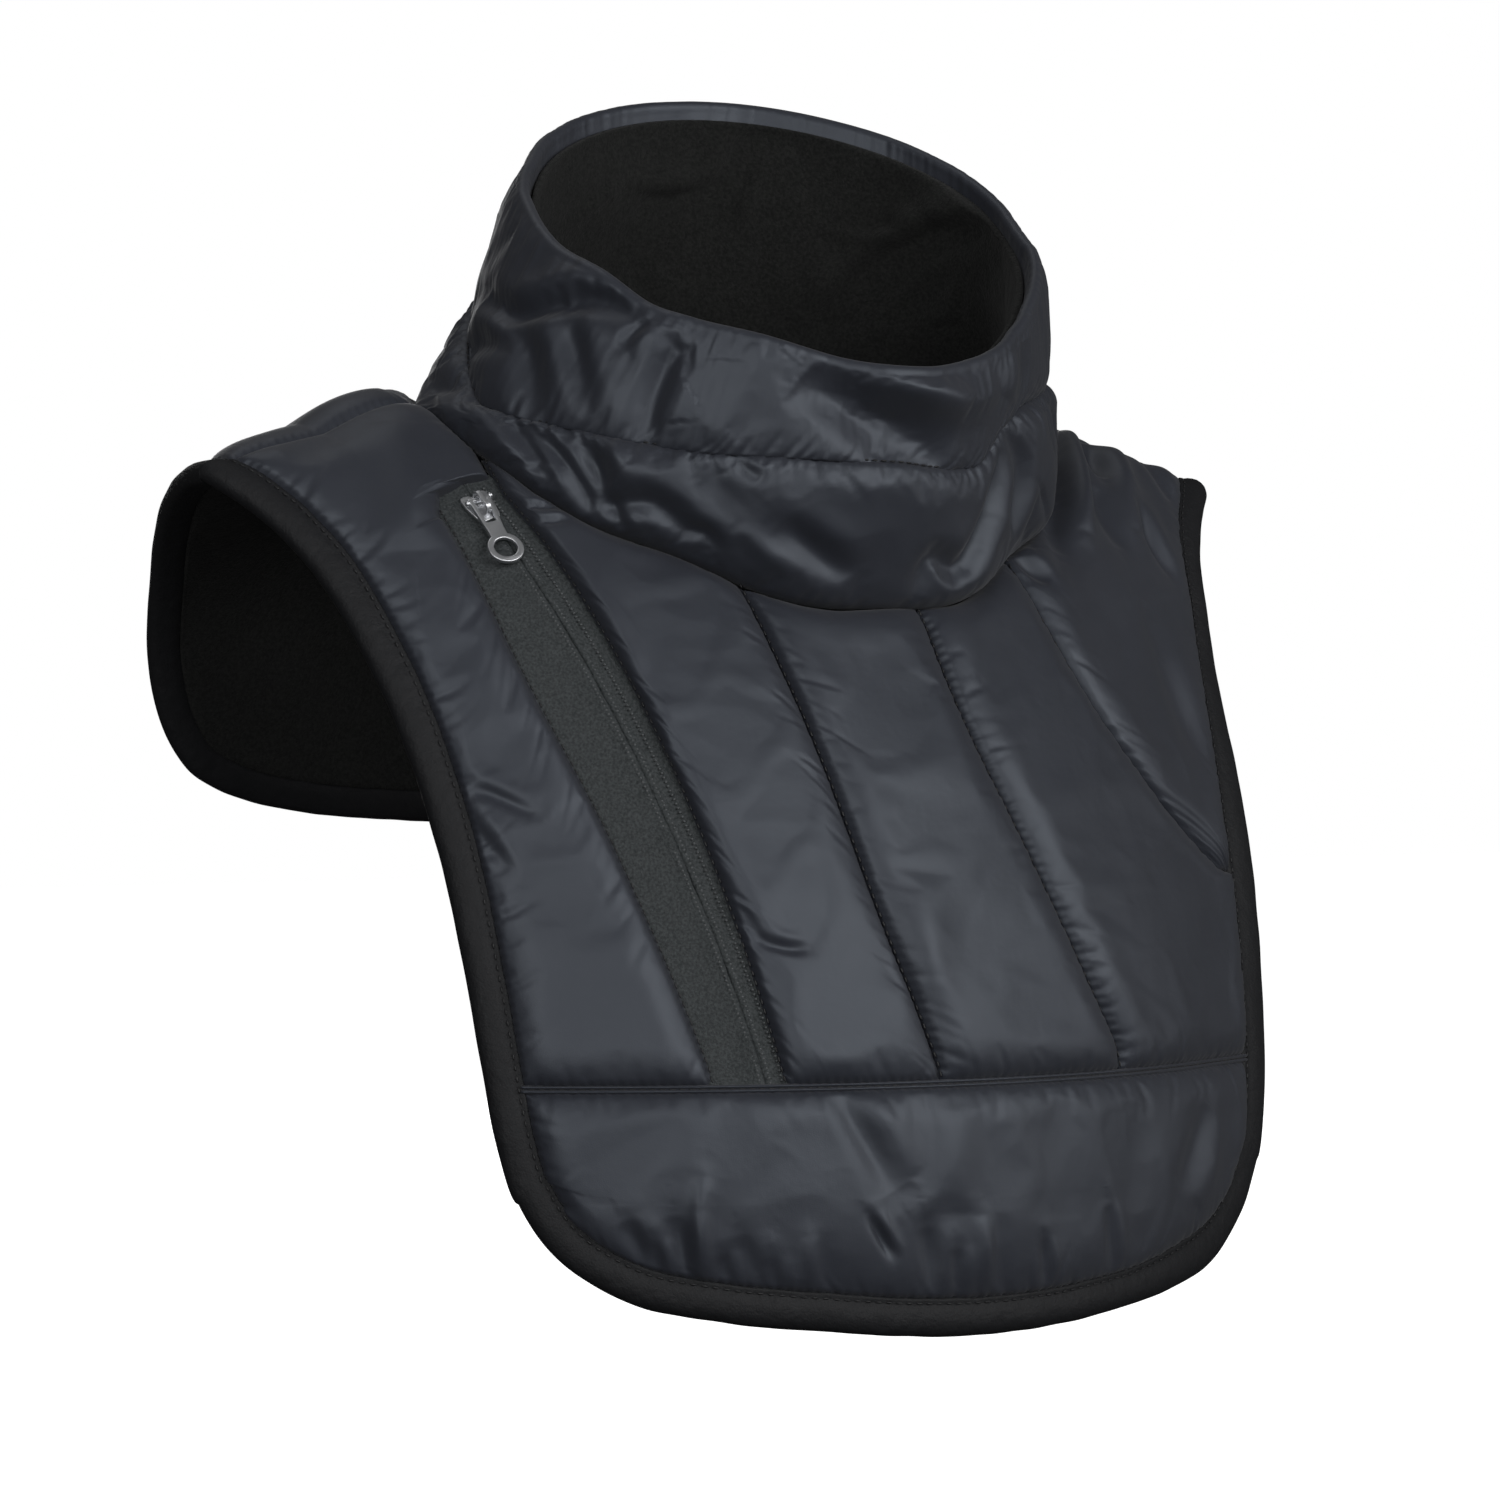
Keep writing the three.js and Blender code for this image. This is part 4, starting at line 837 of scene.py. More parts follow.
# %% Piping and zip tapes
PIPING = 2.6
PIPING_ROWS, PIPING_POINTS = 17, 321
piping_moves = np.linspace(PIPING, -PIPING, PIPING_ROWS) / 2
piping_grid = np.stack([
    hem_line(corner_left[0], corner_right[0], move, PIPING_POINTS) for move in piping_moves
])
share = np.linspace(0, 1, PIPING_ROWS)[:, None] * np.ones((1, PIPING_POINTS))
piping_lift = SEAM_LIFT + 1.25 * np.abs(np.sin(2 * np.pi * share)) ** 0.7
piping_back = lifted(piping_grid[::COARSE, ::COARSE], SHELL_INSIDE)
closed_cloth("hem_piping_double", lifted(piping_grid, piping_lift), piping_back)

TAPE_LIFT = -0.9


def zip_tape(name, left, right, meeting):
    head, end = line_between(left[0], right[0]), line_between(left[-1], right[-1])
    grid = patch(head, end, left, right, columns=24, rows=320)
    flat = lifted(grid, 0)
    gap = distances(flat)[meeting]
    lift = TAPE_LIFT + 1.0 * np.exp(-((gap / 3.2) ** 2)) - 0.5 * np.exp(-((gap / 0.5) ** 2))
    lift += 0.12 * waves(flat, 14, 16, rng)
    back = lifted(grid[::COARSE, ::COARSE], SHELL_INSIDE)
    closed_cloth(name, lifted(grid, lift), back)


ZIP_HEAD = [(-126.5, -21.6), (-115.6, -19.6), (-105.2, -19.8)]
zip_middle = seam_line(ZIP_MIDDLE, None, foot(ZIP_MIDDLE))
tuck = np.array([1.2, 0.0])
tape_lines = (zip_outer - tuck, zip_middle, seam_line(ZIP_INNER, None, foot(ZIP_INNER)) + tuck)
outer_rim, middle_rim, inner_rim = (
    np.concatenate([[head], line]) for head, line in zip(ZIP_HEAD, tape_lines)
)
zip_tape("zip_tape_right_woven", outer_rim, middle_rim, "right")
zip_tape("zip_tape_left_woven", middle_rim, inner_rim, "left")
print("zip is", round(float(lengths_along(form(*zip_middle.T), 0)[-1])), "mm long")

# %% [markdown]
# The collar rises through three rings: the neck hole, the stitched line between its tiers, and the
# rim. A place on it is an angle round the neck, 0 at the throat, and a rise: 0 at the bib, 1 at the
# stitched line, 2 at the rim. It leans forward, so its rings are not level, and the back stands far
# higher than the throat.

# %% The collar's three rings
TIER_RING = dict(
    half_width=101, throat_y=-99, throat_z=-16, nape_y=70, nape_z=54, round=1.6, climb=1.2, shift_x=0, tilt=0,
)
RIM_RING = dict(
    half_width=83, throat_y=-100, throat_z=11, nape_y=56, nape_z=107, round=1.92, climb=0.88,
    shift_x=4.5, tilt=0.12,
)
TIER_WAVER = [
    # angle, rise of the stitched line in mm: it sags by the zip and climbs steeply on the other side
    (-180, 0), (-130, 0), (-112, -7), (-92, -13), (-78, -8.5), (-62, -4.5), (-45, -3), (-25, -0.5), (0, -0.5),
    (14, -2), (24, -0.5), (32, 9), (40, 14), (60, 13), (85, 7), (120, 0), (180, 0),
]
RIM_WAVER = [
    (-180, 0), (-90, 0), (-72, 3), (-60, 0.5), (-50, 2), (-35, 4), (-15, 1.5), (5, 0), (30, -3), (50, -1.5),
    (80, 0), (180, 0),
]
HOLE_LIFT = 0.8
SHELL_WALL = 5
FLEECE_GAP = 0.8
FLEECE_WALL = 2
RIM_WALL = 4.6


def wall_depth(rise):
    """Depth of the fleece's inside under the outer cloth: the padding thins out towards the rim."""
    thin = np.clip((np.asarray(rise, float) - 1.45) / 0.45, 0, 1)
    full = SHELL_WALL + FLEECE_GAP + FLEECE_WALL
    return full + (RIM_WALL - full) * thin * thin * (3 - 2 * thin)


def ring_point(ring, angle_degrees):
    dense = spline(RIM_WAVER if ring is RIM_RING else TIER_WAVER, np.linspace(0, 1, 241))
    waver = np.interp((np.asarray(angle_degrees, float) + 180) % 360 - 180, dense[:, 0], dense[:, 1])
    angle = np.radians(angle_degrees)
    sine, cosine = np.sin(angle), np.cos(angle)
    power = 2 / ring["round"]
    middle_y = (ring["throat_y"] + ring["nape_y"]) / 2
    reach_y = (ring["nape_y"] - ring["throat_y"]) / 2
    x = ring["half_width"] * np.sign(sine) * np.abs(sine) ** power
    y = middle_y - reach_y * np.sign(cosine) * np.abs(cosine) ** power
    climb = ((1 - cosine) / 2) ** ring["climb"]
    z = ring["throat_z"] + (ring["nape_z"] - ring["throat_z"]) * climb + ring["tilt"] * x + waver
    return np.stack([x + ring["shift_x"], y, z], -1)


def collar_line(angle, rise):
    angle, rise = np.broadcast_arrays(np.asarray(angle, float), np.asarray(rise, float))
    tier = ring_point(TIER_RING, angle)
    hole_points = neck_hole(angle)
    low = lifted(hole_points, HOLE_LIFT)
    high = ring_point(RIM_RING, angle)
    rise = rise[..., None]
    return np.where(rise < 1, low + (tier - low) * rise, tier + (high - tier) * (rise - 1))


def collar_normal(angle, rise):
    around = collar_line(angle + 2, rise) - collar_line(angle - 2, rise)
    up = collar_line(angle, rise + 0.05) - collar_line(angle, rise - 0.05)
    return unit(np.cross(around, up))


def wall_direction(angle, rise):
    """Direction out through the wall. At a seam it halves the angle between the cloths that meet there."""
    angle, rise = np.broadcast_arrays(np.asarray(angle, float), np.asarray(rise, float))
    low, high = collar_normal(angle, 0.5), collar_normal(angle, 1.5)
    hole_points = neck_hole(angle)
    foot_way = unit(low + form_normal(hole_points[..., 0], hole_points[..., 1]))
    tier_way = unit(low + high)
    t = np.where(rise < 1, rise, rise - 1)[..., None]
    first = np.where(rise[..., None] < 1, foot_way, tier_way)
    middle = np.where(rise[..., None] < 1, low, high)
    last = np.where(rise[..., None] < 1, tier_way, high)
    return unit(first * (1 - t) ** 2 + middle * 2 * t * (1 - t) + last * t**2)


def collar_point(angle, rise, lift):
    return collar_line(angle, rise) + wall_direction(angle, rise) * np.asarray(lift)[..., None]


def even_angles(ring, count):
    dense = np.linspace(-180, 180, 2001)
    run = lengths_along(ring_point(ring, dense), 0)
    return np.interp(np.arange(count) / count * run[-1], run, dense)


COLLAR_COLUMNS = 640
collar_angles = even_angles(TIER_RING, COLLAR_COLUMNS)
girth = lengths_along(ring_point(TIER_RING, collar_angles), 0)[-1]
print("round the collar at the stitched line:", round(float(girth)), "mm")

# %% [markdown]
# The collar's folds are drawn like the bib's, but in angle and rise. A tube that leans forward
# crumples at the throat, so most of them are there, and they slant as the cloth is dragged up to the
# stitched line.

# %% The collar's folds
UPPER_FOLDS = [
    # points in (angle, rise), width, height, lip
    ([(-108, 1.4), (-95, 1.49), (-84, 1.62), (-72, 1.8), (-58, 1.92)], 4.5, -5, 0.3),
    ([(-114, 0.98), (-104, 1.18), (-92, 1.31)], 4, -3.5, 0.3),
    ([(-88, 1.5), (-79, 1.35), (-70, 1.1)], 5.5, -2.6, 0.4),
    ([(-75, 1.66), (-68, 1.45), (-60, 1.14)], 4.5, -2.2, 0.4),
    ([(-58, 1.9), (-60, 1.78), (-61, 1.64)], 2.2, -1.6, 0.5),
    ([(-46, 1.72), (-51, 1.55), (-51, 1.33), (-49, 1.08)], 4.5, -3.2, 0.5),
    ([(-26, 1.84), (-16, 1.6), (-4, 1.35), (14, 1.12)], 9, -8, 0.5),
    ([(-14, 1.93), (5, 1.74), (26, 1.66)], 6, 4.2, 0.0),
    ([(30, 1.96), (31, 1.7), (30, 1.4)], 6, 2.5, 0.3),
    ([(66, 1.1), (72, 1.5), (78, 1.9)], 7, -3.5, 0.3),
    ([(112, 1.15), (104, 1.5), (96, 1.85)], 8, -3, 0.3),
    ([(150, 1.2), (160, 1.5), (168, 1.8)], 9, -3, 0.3),
    ([(-168, 1.8), (-158, 1.5), (-150, 1.15)], 8, -3, 0.3),
    ([(-128, 1.9), (-134, 1.5), (-130, 1.15)], 7, -3, 0.3),
]
LOWER_FOLDS = [
    ([(-80, 0.9), (-70, 0.66), (-59, 0.32)], 3.2, -3, 0.3),
    ([(-75, 0.95), (-62, 0.64), (-54, 0.38), (-48, 0.06)], 2.8, -3.4, 0.3),
    ([(-66, 0.93), (-57, 0.73), (-47, 0.42)], 4, -3.6, 0.3),
    ([(-57, 0.96), (-49, 0.3), (-42, 0.44), (-31, 0.17)], 4.5, -4.6, 0.3),
    ([(-50, 0.45), (-46, 0.25), (-42, 0.05)], 2.5, -1.8, 0.25),
    ([(-34, 0.25), (-31, 0.27), (-28, 0.14)], 3, -2, 0.25),
    ([(-35, 1.0), (-32, 0.9), (-28, 0.8)], 2.5, -2.2, 0.25),
    ([(-28, 0.42), (-22, 0.28), (-16, 0.18)], 4, 2, 0.2),
    ([(-22, 0.55), (-15, 0.38), (-8, 0.22)], 4.5, -3.2, 0.25),
    ([(31, 0.92), (15, 0.3), (7, 0.36), (4, 0.08)], 5, -5, 0.25),
    ([(33, 1.0), (35, 0.68), (29, 0.24)], 5, -3, 0.25),
    ([(44, 1.0), (45, 0.3), (37, 0.3)], 8, 3, 0.1),
    ([(58, 0.9), (64, 0.55), (60, 0.2)], 6, -4, 0.25),
    ([(84, 0.9), (92, 0.25), (88, 0.15)], 7, -3, 0.25),
    ([(-96, 0.9), (-102, 0.55), (-96, 0.2)], 6, -3, 0.25),
    ([(-128, 0.85), (-136, 0.25), (-132, 0.2)], 8, -3, 0.25),
    ([(130, 0.85), (138, 0.25), (132, 0.2)], 8, -3, 0.25),
    ([(172, 0.85), (176, 0.25), (170, 0.2)], 8, -3, 0.25),
]


def collar_folds_of(table, depth=0.0):
    folds = []
    for points, width, height, lip in table:
        angle, rise = spline(points, np.linspace(0, 1, 14)).T
        folds.append((collar_point(angle, rise, depth), width, height, lip))
    return folds


LOWER_PUFF = 5
UPPER_PUFF = 3.4


def collar_relief(points, normals, run, low, high, puff, folds, low_crease, high_crease):
    held = rounded(low, 10) * rounded(high, 10)
    relief = held * (puff + fold_relief(points, normals, collar_folds_of(folds)))
    relief += creases(run, low, rng, **low_crease) + creases(run, high, rng, **high_crease)
    noise = waves(points, 34, 24, rng) + 0.5 * (1 - np.abs(waves(points, 22, 24, rng)))
    return relief + 0.4 * noise * held


def collar_grid(low_rise, high_rise, rows):
    rises = np.linspace(low_rise, high_rise, rows + 1)[:, None] * np.ones((1, COLLAR_COLUMNS))
    angles = np.ones((rows + 1, 1)) * collar_angles[None]
    return angles, rises


print("folds on the tiers:", len(LOWER_FOLDS), "and", len(UPPER_FOLDS))

# %% [markdown]
# The lower tier is a padded tube, gathered into the stitched line at its top. So short creases hang
# from that line all round, and they are denser than anywhere else.

# %% Lower tier
angles, rises = collar_grid(0.0, 0.995, 48)
flat = collar_line(angles, rises)
run = lengths_along(flat, 1)
gap = distances(flat)
relief = collar_relief(
    flat, wall_direction(angles, rises), run, gap["top"], gap["bottom"], LOWER_PUFF,
    LOWER_FOLDS, dict(height=0.5, length=6), dict(height=0.6, length=9, pitch=4.4, width=1.0, slant=0.5),
)
relief += creases(run, gap["bottom"], rng, height=0.8, length=2.6, pitch=2.8, width=0.7)
lower = collar_point(angles, rises, relief + 0.2)
lower = settled(lower, wall_direction(angles, rises), slack=0.02, bend=2.5, share=0.7, ring=True)
lower_back = collar_point(angles[::COARSE, ::COARSE], rises[::COARSE, ::COARSE], -SHELL_WALL)
closed_cloth("collar_lower_tier_padded", lower, lower_back, ring=True)
print("lower tier has", len(scene_pieces["collar_lower_tier_padded"].data.polygons), "faces")

# %% [markdown]
# The upper tier bulges a little over the stitched line, thins out towards the top and rolls in over
# the rim. Its sheet goes on down the inside as a short facing that the fleece hides, as a sewn collar
# has it.

# %% Upper tier
UPPER_ROWS = 56
ROLL_ROWS = 12
FACING_ROWS = 8
FACING_RISE = 1.78
RIM_ROLL = 3.0
OVERHANG = 2.8
OVERHANG_AT = 3.0
angles, rises = collar_grid(1.0, 1.95, UPPER_ROWS)
flat = collar_line(angles, rises)
run = lengths_along(flat, 1)
gap = distances(flat)
relief = collar_relief(
    flat, wall_direction(angles, rises), run, gap["top"], gap["bottom"] + 4, UPPER_PUFF,
    UPPER_FOLDS, dict(height=0.8, length=5, pitch=3.4, width=0.9), dict(height=0.3, length=6),
)
relief = kept_above(relief, 3.8 - wall_depth(rises))
relief -= relief[:1]
upper = collar_point(angles, rises, relief)
hang = gap["top"] / OVERHANG_AT
upper[..., 2] -= OVERHANG * hang * np.exp(1 - hang)
rim_up = unit(flat[-1] - flat[-3])
upper = settled(upper, wall_direction(angles, rises), slack=0.016, bend=2.5, share=0.6, ring=True)
rim_out = wall_direction(angles[-1], rises[-1])
turns = np.linspace(0, np.pi, ROLL_ROWS + 1)[1:, None, None]
middle = upper[-1] - rim_out * RIM_WALL / 2
roll = middle + rim_out * np.cos(turns) * RIM_WALL / 2 + rim_up * np.sin(turns) * RIM_ROLL
facing_end = collar_point(angles[-1], FACING_RISE, 1.3 - wall_depth(FACING_RISE))
facing = roll[-1] + (facing_end - roll[-1]) * np.linspace(0, 1, FACING_ROWS + 1)[1:, None, None]
upper_sheet = np.concatenate([upper, roll, facing], 0)
hidden_rows = (UPPER_ROWS + ROLL_ROWS + FACING_ROWS) // COARSE + 1
hidden_rises = np.linspace(1.0, 1.8, hidden_rows)[:, None] * np.ones((1, COLLAR_COLUMNS // COARSE))
hidden_angles = np.ones((hidden_rows, 1)) * collar_angles[None, ::COARSE]
hidden = collar_point(hidden_angles, hidden_rises, 1.9 - wall_depth(hidden_rises))
closed_cloth("collar_upper_tier_padded", upper_sheet, hidden, ring=True)
print("upper tier has", len(scene_pieces["collar_upper_tier_padded"].data.polygons), "faces")

# %% [markdown]
# The collar's lining is the inside that shows behind the rim. Fleece is bulky and doesn't crease
# sharply, but the long folds of the padding behind it press through at the back of the neck. They are
# kept from reaching into the wall.

# %% Collar lining
LINING_DEPTH = -(SHELL_WALL + FLEECE_GAP + FLEECE_WALL)
MOST_INTO_WALL = 0.8
FLEECE_BACK = 1.6
LINING_FOLDS = [
    # points in (angle, rise) at the back of the neck, width, height, lip
    ([(146, 1.86), (156, 1.76), (158, 1.59), (164, 1.45), (176, 1.4), (190, 1.44)], 4, -6.0, 0.5),
    ([(140, 1.79), (144, 1.68), (148, 1.54), (150, 1.36), (156, 1.2)], 4, -5.4, 0.4),
    ([(137, 1.49), (130, 1.5), (119, 1.58)], 2.4, -3.6, 0.5),
    (
        [
            (88, 1.84), (96, 1.76), (104, 1.66), (112, 1.55),
            (121, 1.35), (130, 1.12), (136, 0.89), (142, 0.59),
        ],
        5, -8, 0.6,
    ),
    ([(108, 1.4), (116, 1.21), (122, 1.03)], 3.4, -3.6, 0.5),
    ([(104, 1.16), (109, 1.12), (113, 1.06)], 1.8, -2, 0.5),
    ([(103, 1.36), (104, 1.28), (104, 1.2)], 2, -2.6, 0.5),
    ([(192, 1.6), (204, 1.39), (213, 1.28)], 2, 1.6, 0.3),
    ([(158, 1.36), (174, 1.18), (188, 1.1)], 8, -4, 0.4),
]
angles, rises = collar_grid(-0.04, 1.9, 80)
flat = collar_point(angles, rises, -wall_depth(rises))
fleece_wave = 1.1 * waves(flat, 55, 20, rng) + 0.5 * (1 - np.abs(waves(flat, 26, 20, rng)))
gap = distances(flat)
fleece_wave = fleece_wave * rounded(gap["bottom"], 18) * rounded(gap["top"], 10) - 0.3
fleece_wave -= fold_relief(flat, wall_direction(angles, rises), collar_folds_of(LINING_FOLDS, LINING_DEPTH))
fleece_wave = -kept_above(-fleece_wave, -MOST_INTO_WALL)
inside = flat + wall_direction(angles, rises) * fleece_wave[..., None]
angles, rises = angles[::COARSE, ::COARSE], rises[::COARSE, ::COARSE]
hidden = collar_point(angles, rises, FLEECE_BACK - wall_depth(rises))
closed_cloth("collar_lining_fleece", inside, hidden, ring=True)
print("collar lining has", len(scene_pieces["collar_lining_fleece"].data.polygons), "faces")

# %% [markdown]
# The slider and its pull are cast metal, so they get crisp flat faces with small rounded edges. A
# flat curve with a bevel gives both at once, and holes are simply curves inside curves. They stand in
# the slider's own axes: X across the zip, Y up it and Z out of the cloth. The joint in the frame says
# where the hinge is.

# %% Metal plates and the slider's axes
joint = frame["joints"][0]
hinge = np.array(joint["pos_m"]) / MM
across_zip = unit(-np.array(joint["axis"], float))
zip_spot = nearest(hinge, zip_middle[1])
out_of_cloth = form_normal(zip_spot[0], zip_spot[1])
out_of_cloth = unit(out_of_cloth - across_zip * (out_of_cloth @ across_zip))
up_zip = np.cross(out_of_cloth, across_zip)
slider_origin = hinge - up_zip * 1.7 - out_of_cloth * 2.5


def placed(axes, origin):
    matrix = np.eye(4)
    matrix[:3, :3] = np.array(axes).T
    matrix[:3, 3] = np.array(origin) * MM
    return Matrix(matrix.tolist())


def arc(centre, radius, start, end, count=24):
    turn = np.radians(np.linspace(start, end, count))
    return [(centre[0] + radius * math.cos(a), centre[1] + radius * math.sin(a)) for a in turn]


def cut_plate(outlines, thickness, bevel):
    """Mesh of a plate with rounded edges, thickness along Z from zero, in mm."""
    curve = bpy.data.curves.new("plate", "CURVE")
    curve.dimensions = "2D"
    curve.fill_mode = "BOTH"
    curve.extrude = (thickness / 2 - bevel) * MM
    curve.bevel_depth = bevel * MM
    curve.bevel_resolution = 2
    curve.offset = -bevel * MM
    for outline in outlines:
        line = curve.splines.new("POLY")
        line.points.add(len(outline) - 1)
        line.points.foreach_set("co", [c for x, y in outline for c in (x * MM, y * MM, 0, 1)])
        line.use_cyclic_u = True
    holder = bpy.data.objects.new("plate", curve)
    bpy.context.scene.collection.objects.link(holder)
    bpy.context.view_layer.update()
    mesh = bpy.data.meshes.new_from_object(holder.evaluated_get(bpy.context.evaluated_depsgraph_get()))
    bpy.data.objects.remove(holder)
    mesh.transform(Matrix.Translation((0, 0, thickness / 2 * MM)))
    return mesh


def joined(name, meshes, matrix):
    work = bmesh.new()
    for mesh in meshes:
        work.from_mesh(mesh)
    bmesh.ops.remove_doubles(work, verts=work.verts, dist=1e-6)
    bmesh.ops.recalc_face_normals(work, faces=work.faces)
    work.transform(matrix)
    made_mesh = bpy.data.meshes.new(name)
    work.to_mesh(made_mesh)
    work.free()
    made = bpy.data.objects.new(name, made_mesh)
    bpy.context.scene.collection.objects.link(made)
    for polygon in made_mesh.polygons:
        polygon.use_smooth = True
    made_mesh.set_sharp_from_angle(angle=math.radians(35))
    scene_pieces[name] = made


print("slider stands at", slider_origin.round(1))

# %% [markdown]
# The slider is a small plate, wide at the head and notched between its shoulders. A bridge stands on
# it along the zip, and the pull hangs in that bridge.

# %% Zip slider
slider_outline = [
    (-3.2, -5.75), (3.2, -5.75), (3.9, -4.2), (4.8, 0.8), (4.8, 4.4), (4.3, 5.4), (3.2, 5.75), (1.6, 5.5),
    (0, 4.3), (-1.6, 5.5), (-3.2, 5.75), (-4.3, 5.4), (-4.8, 4.4), (-4.8, 0.8), (-3.9, -4.2),
]
slider_base = cut_plate([slider_outline], 1.2, 0.3)
bridge_outline = (
    [(-4.2, 0)] + arc((-2.2, 2.6), 2.0, 180, 90, 8) + arc((2.2, 2.6), 2.0, 90, 0, 8) + [(4.2, 0), (3.2, 0)]
    + arc((2.2, 2.6), 1.0, 0, 90, 8) + arc((-2.2, 2.6), 1.0, 90, 180, 8) + [(-3.2, 0)]
)
bridge = cut_plate([bridge_outline], 1.7, 0.25)
bridge.transform(Matrix(((0, 0, 1, -0.85 * MM), (1, 0, 0, 0), (0, 1, 0, 0.6 * MM), (0, 0, 0, 1))))
zip_axes = [across_zip, up_zip, out_of_cloth]
joined("zip_slider_metal", [slider_base, bridge], placed(zip_axes, slider_origin))
print("slider has", len(scene_pieces["zip_slider_metal"].data.polygons), "faces")

# %% [markdown]
# The pull is one flat plate: a long slot at the top, where the bridge goes through, and a ring for
# the finger at the bottom. Two small studs sit on the hinge line. It hangs a little aside and leans
# off the tape.

# %% Zip pull
PULL_SWAY = -9
PULL_LENGTH = 26.5
PULL_RING = 5.7
ring_centre = (0, 0.7 - PULL_LENGTH + PULL_RING)
shoulder = math.degrees(math.asin(2.8 / PULL_RING))
pull_ring = arc(ring_centre, PULL_RING, 90 + shoulder, 450 - shoulder, 40)
pull_outline = [(-3.9, 0.7), (-2.8, -12.5)] + pull_ring + [(2.8, -12.5), (3.9, 0.7)]
slot_outline = [(-2.2, -0.7), (-1.76, -9.5), (1.76, -9.5), (2.2, -0.7)]
pull_plate = cut_plate([pull_outline, slot_outline, arc(ring_centre, 3.7, 0, 350, 36)], 1.4, 0.32)
pull_plate.transform(Matrix.Rotation(math.radians(PULL_SWAY), 4, "Z") @ Matrix.Translation((0, 0, -0.7 * MM)))
studs = []
for side in (-1, 1):
    work = bmesh.new()
    bmesh.ops.create_uvsphere(work, u_segments=20, v_segments=12, radius=0.95 * MM)
    bmesh.ops.translate(work, verts=work.verts, vec=(side * 4.1 * MM, 0, 0))
    stud = bpy.data.meshes.new("stud")
    work.to_mesh(stud)
    work.free()
    studs.append(stud)
lean = Matrix.Rotation(math.radians(2.6), 4, "X")
joined("zip_pull_metal", [pull_plate, *studs], placed(zip_axes, hinge) @ lean)
print("pull made, hinge at", hinge.round(1))

# %% [markdown]
# Stitches follow a path and repeat by the hundred, so Geometry Nodes make them. The path is a line of
# points that carry the cloth's own outward direction. The tree resamples it at the stitch pitch and
# sets one short thread on each point, turned along the line and out of the cloth.

# %% The stitch tree
def stitch_tree():
    tree = bpy.data.node_groups.new("Sewn row", "GeometryNodeTree")
    faces = tree.interface
    faces.new_socket("Geometry", in_out="INPUT", socket_type="NodeSocketGeometry")
    for label, value in (("Pitch", 0.0032), ("Thread", 0.00032), ("Length", 0.0023)):
        socket = faces.new_socket(label, in_out="INPUT", socket_type="NodeSocketFloat")
        socket.default_value = value
    faces.new_socket("Thread material", in_out="INPUT", socket_type="NodeSocketMaterial")
    faces.new_socket("Geometry", in_out="OUTPUT", socket_type="NodeSocketGeometry")
    node, link = tree.nodes.new, tree.links.new
    given, result = node("NodeGroupInput"), node("NodeGroupOutput")
    to_curve, resample = node("GeometryNodeMeshToCurve"), node("GeometryNodeResampleCurve")
    resample.mode = "LENGTH"
    link(given.outputs["Geometry"], to_curve.inputs["Mesh"])
    link(to_curve.outputs["Curve"], resample.inputs["Curve"])
    link(given.outputs["Pitch"], resample.inputs["Length"])
    tangent, outward = node("GeometryNodeInputTangent"), node("GeometryNodeInputNamedAttribute")
    outward.data_type = "FLOAT_VECTOR"
    outward.inputs["Name"].default_value = "outward"
    along, upright = node("FunctionNodeAlignRotationToVector"), node("FunctionNodeAlignRotationToVector")
    along.axis = "X"
    upright.axis = "Z"
    upright.pivot_axis = "X"
    link(tangent.outputs["Tangent"], along.inputs["Vector"])
    link(along.outputs["Rotation"], upright.inputs["Rotation"])
    link(outward.outputs["Attribute"], upright.inputs["Vector"])
    ball = node("GeometryNodeMeshUVSphere")
    ball.inputs["Segments"].default_value = 6
    ball.inputs["Rings"].default_value = 5
    shape, stretch = node("GeometryNodeTransform"), node("ShaderNodeCombineXYZ")
    half = node("ShaderNodeMath")
    half.operation = "MULTIPLY"
    half.inputs[1].default_value = 0.5
    link(given.outputs["Length"], half.inputs[0])
    link(half.outputs[0], stretch.inputs["X"])
    link(given.outputs["Thread"], stretch.inputs["Y"])
    link(given.outputs["Thread"], stretch.inputs["Z"])
    ball.inputs["Radius"].default_value = 1.0
    link(ball.outputs["Mesh"], shape.inputs["Geometry"])
    link(stretch.outputs["Vector"], shape.inputs["Scale"])
    place, real = node("GeometryNodeInstanceOnPoints"), node("GeometryNodeRealizeInstances")
    paint = node("GeometryNodeSetMaterial")
    link(resample.outputs["Curve"], place.inputs["Points"])
    link(shape.outputs["Geometry"], place.inputs["Instance"])
    link(upright.outputs["Rotation"], place.inputs["Rotation"])
    link(place.outputs["Instances"], real.inputs["Geometry"])
    link(real.outputs["Geometry"], paint.inputs["Geometry"])
    link(given.outputs["Thread material"], paint.inputs["Material"])
    link(paint.outputs["Geometry"], result.inputs["Geometry"])
    return tree


sewn_row = stitch_tree()


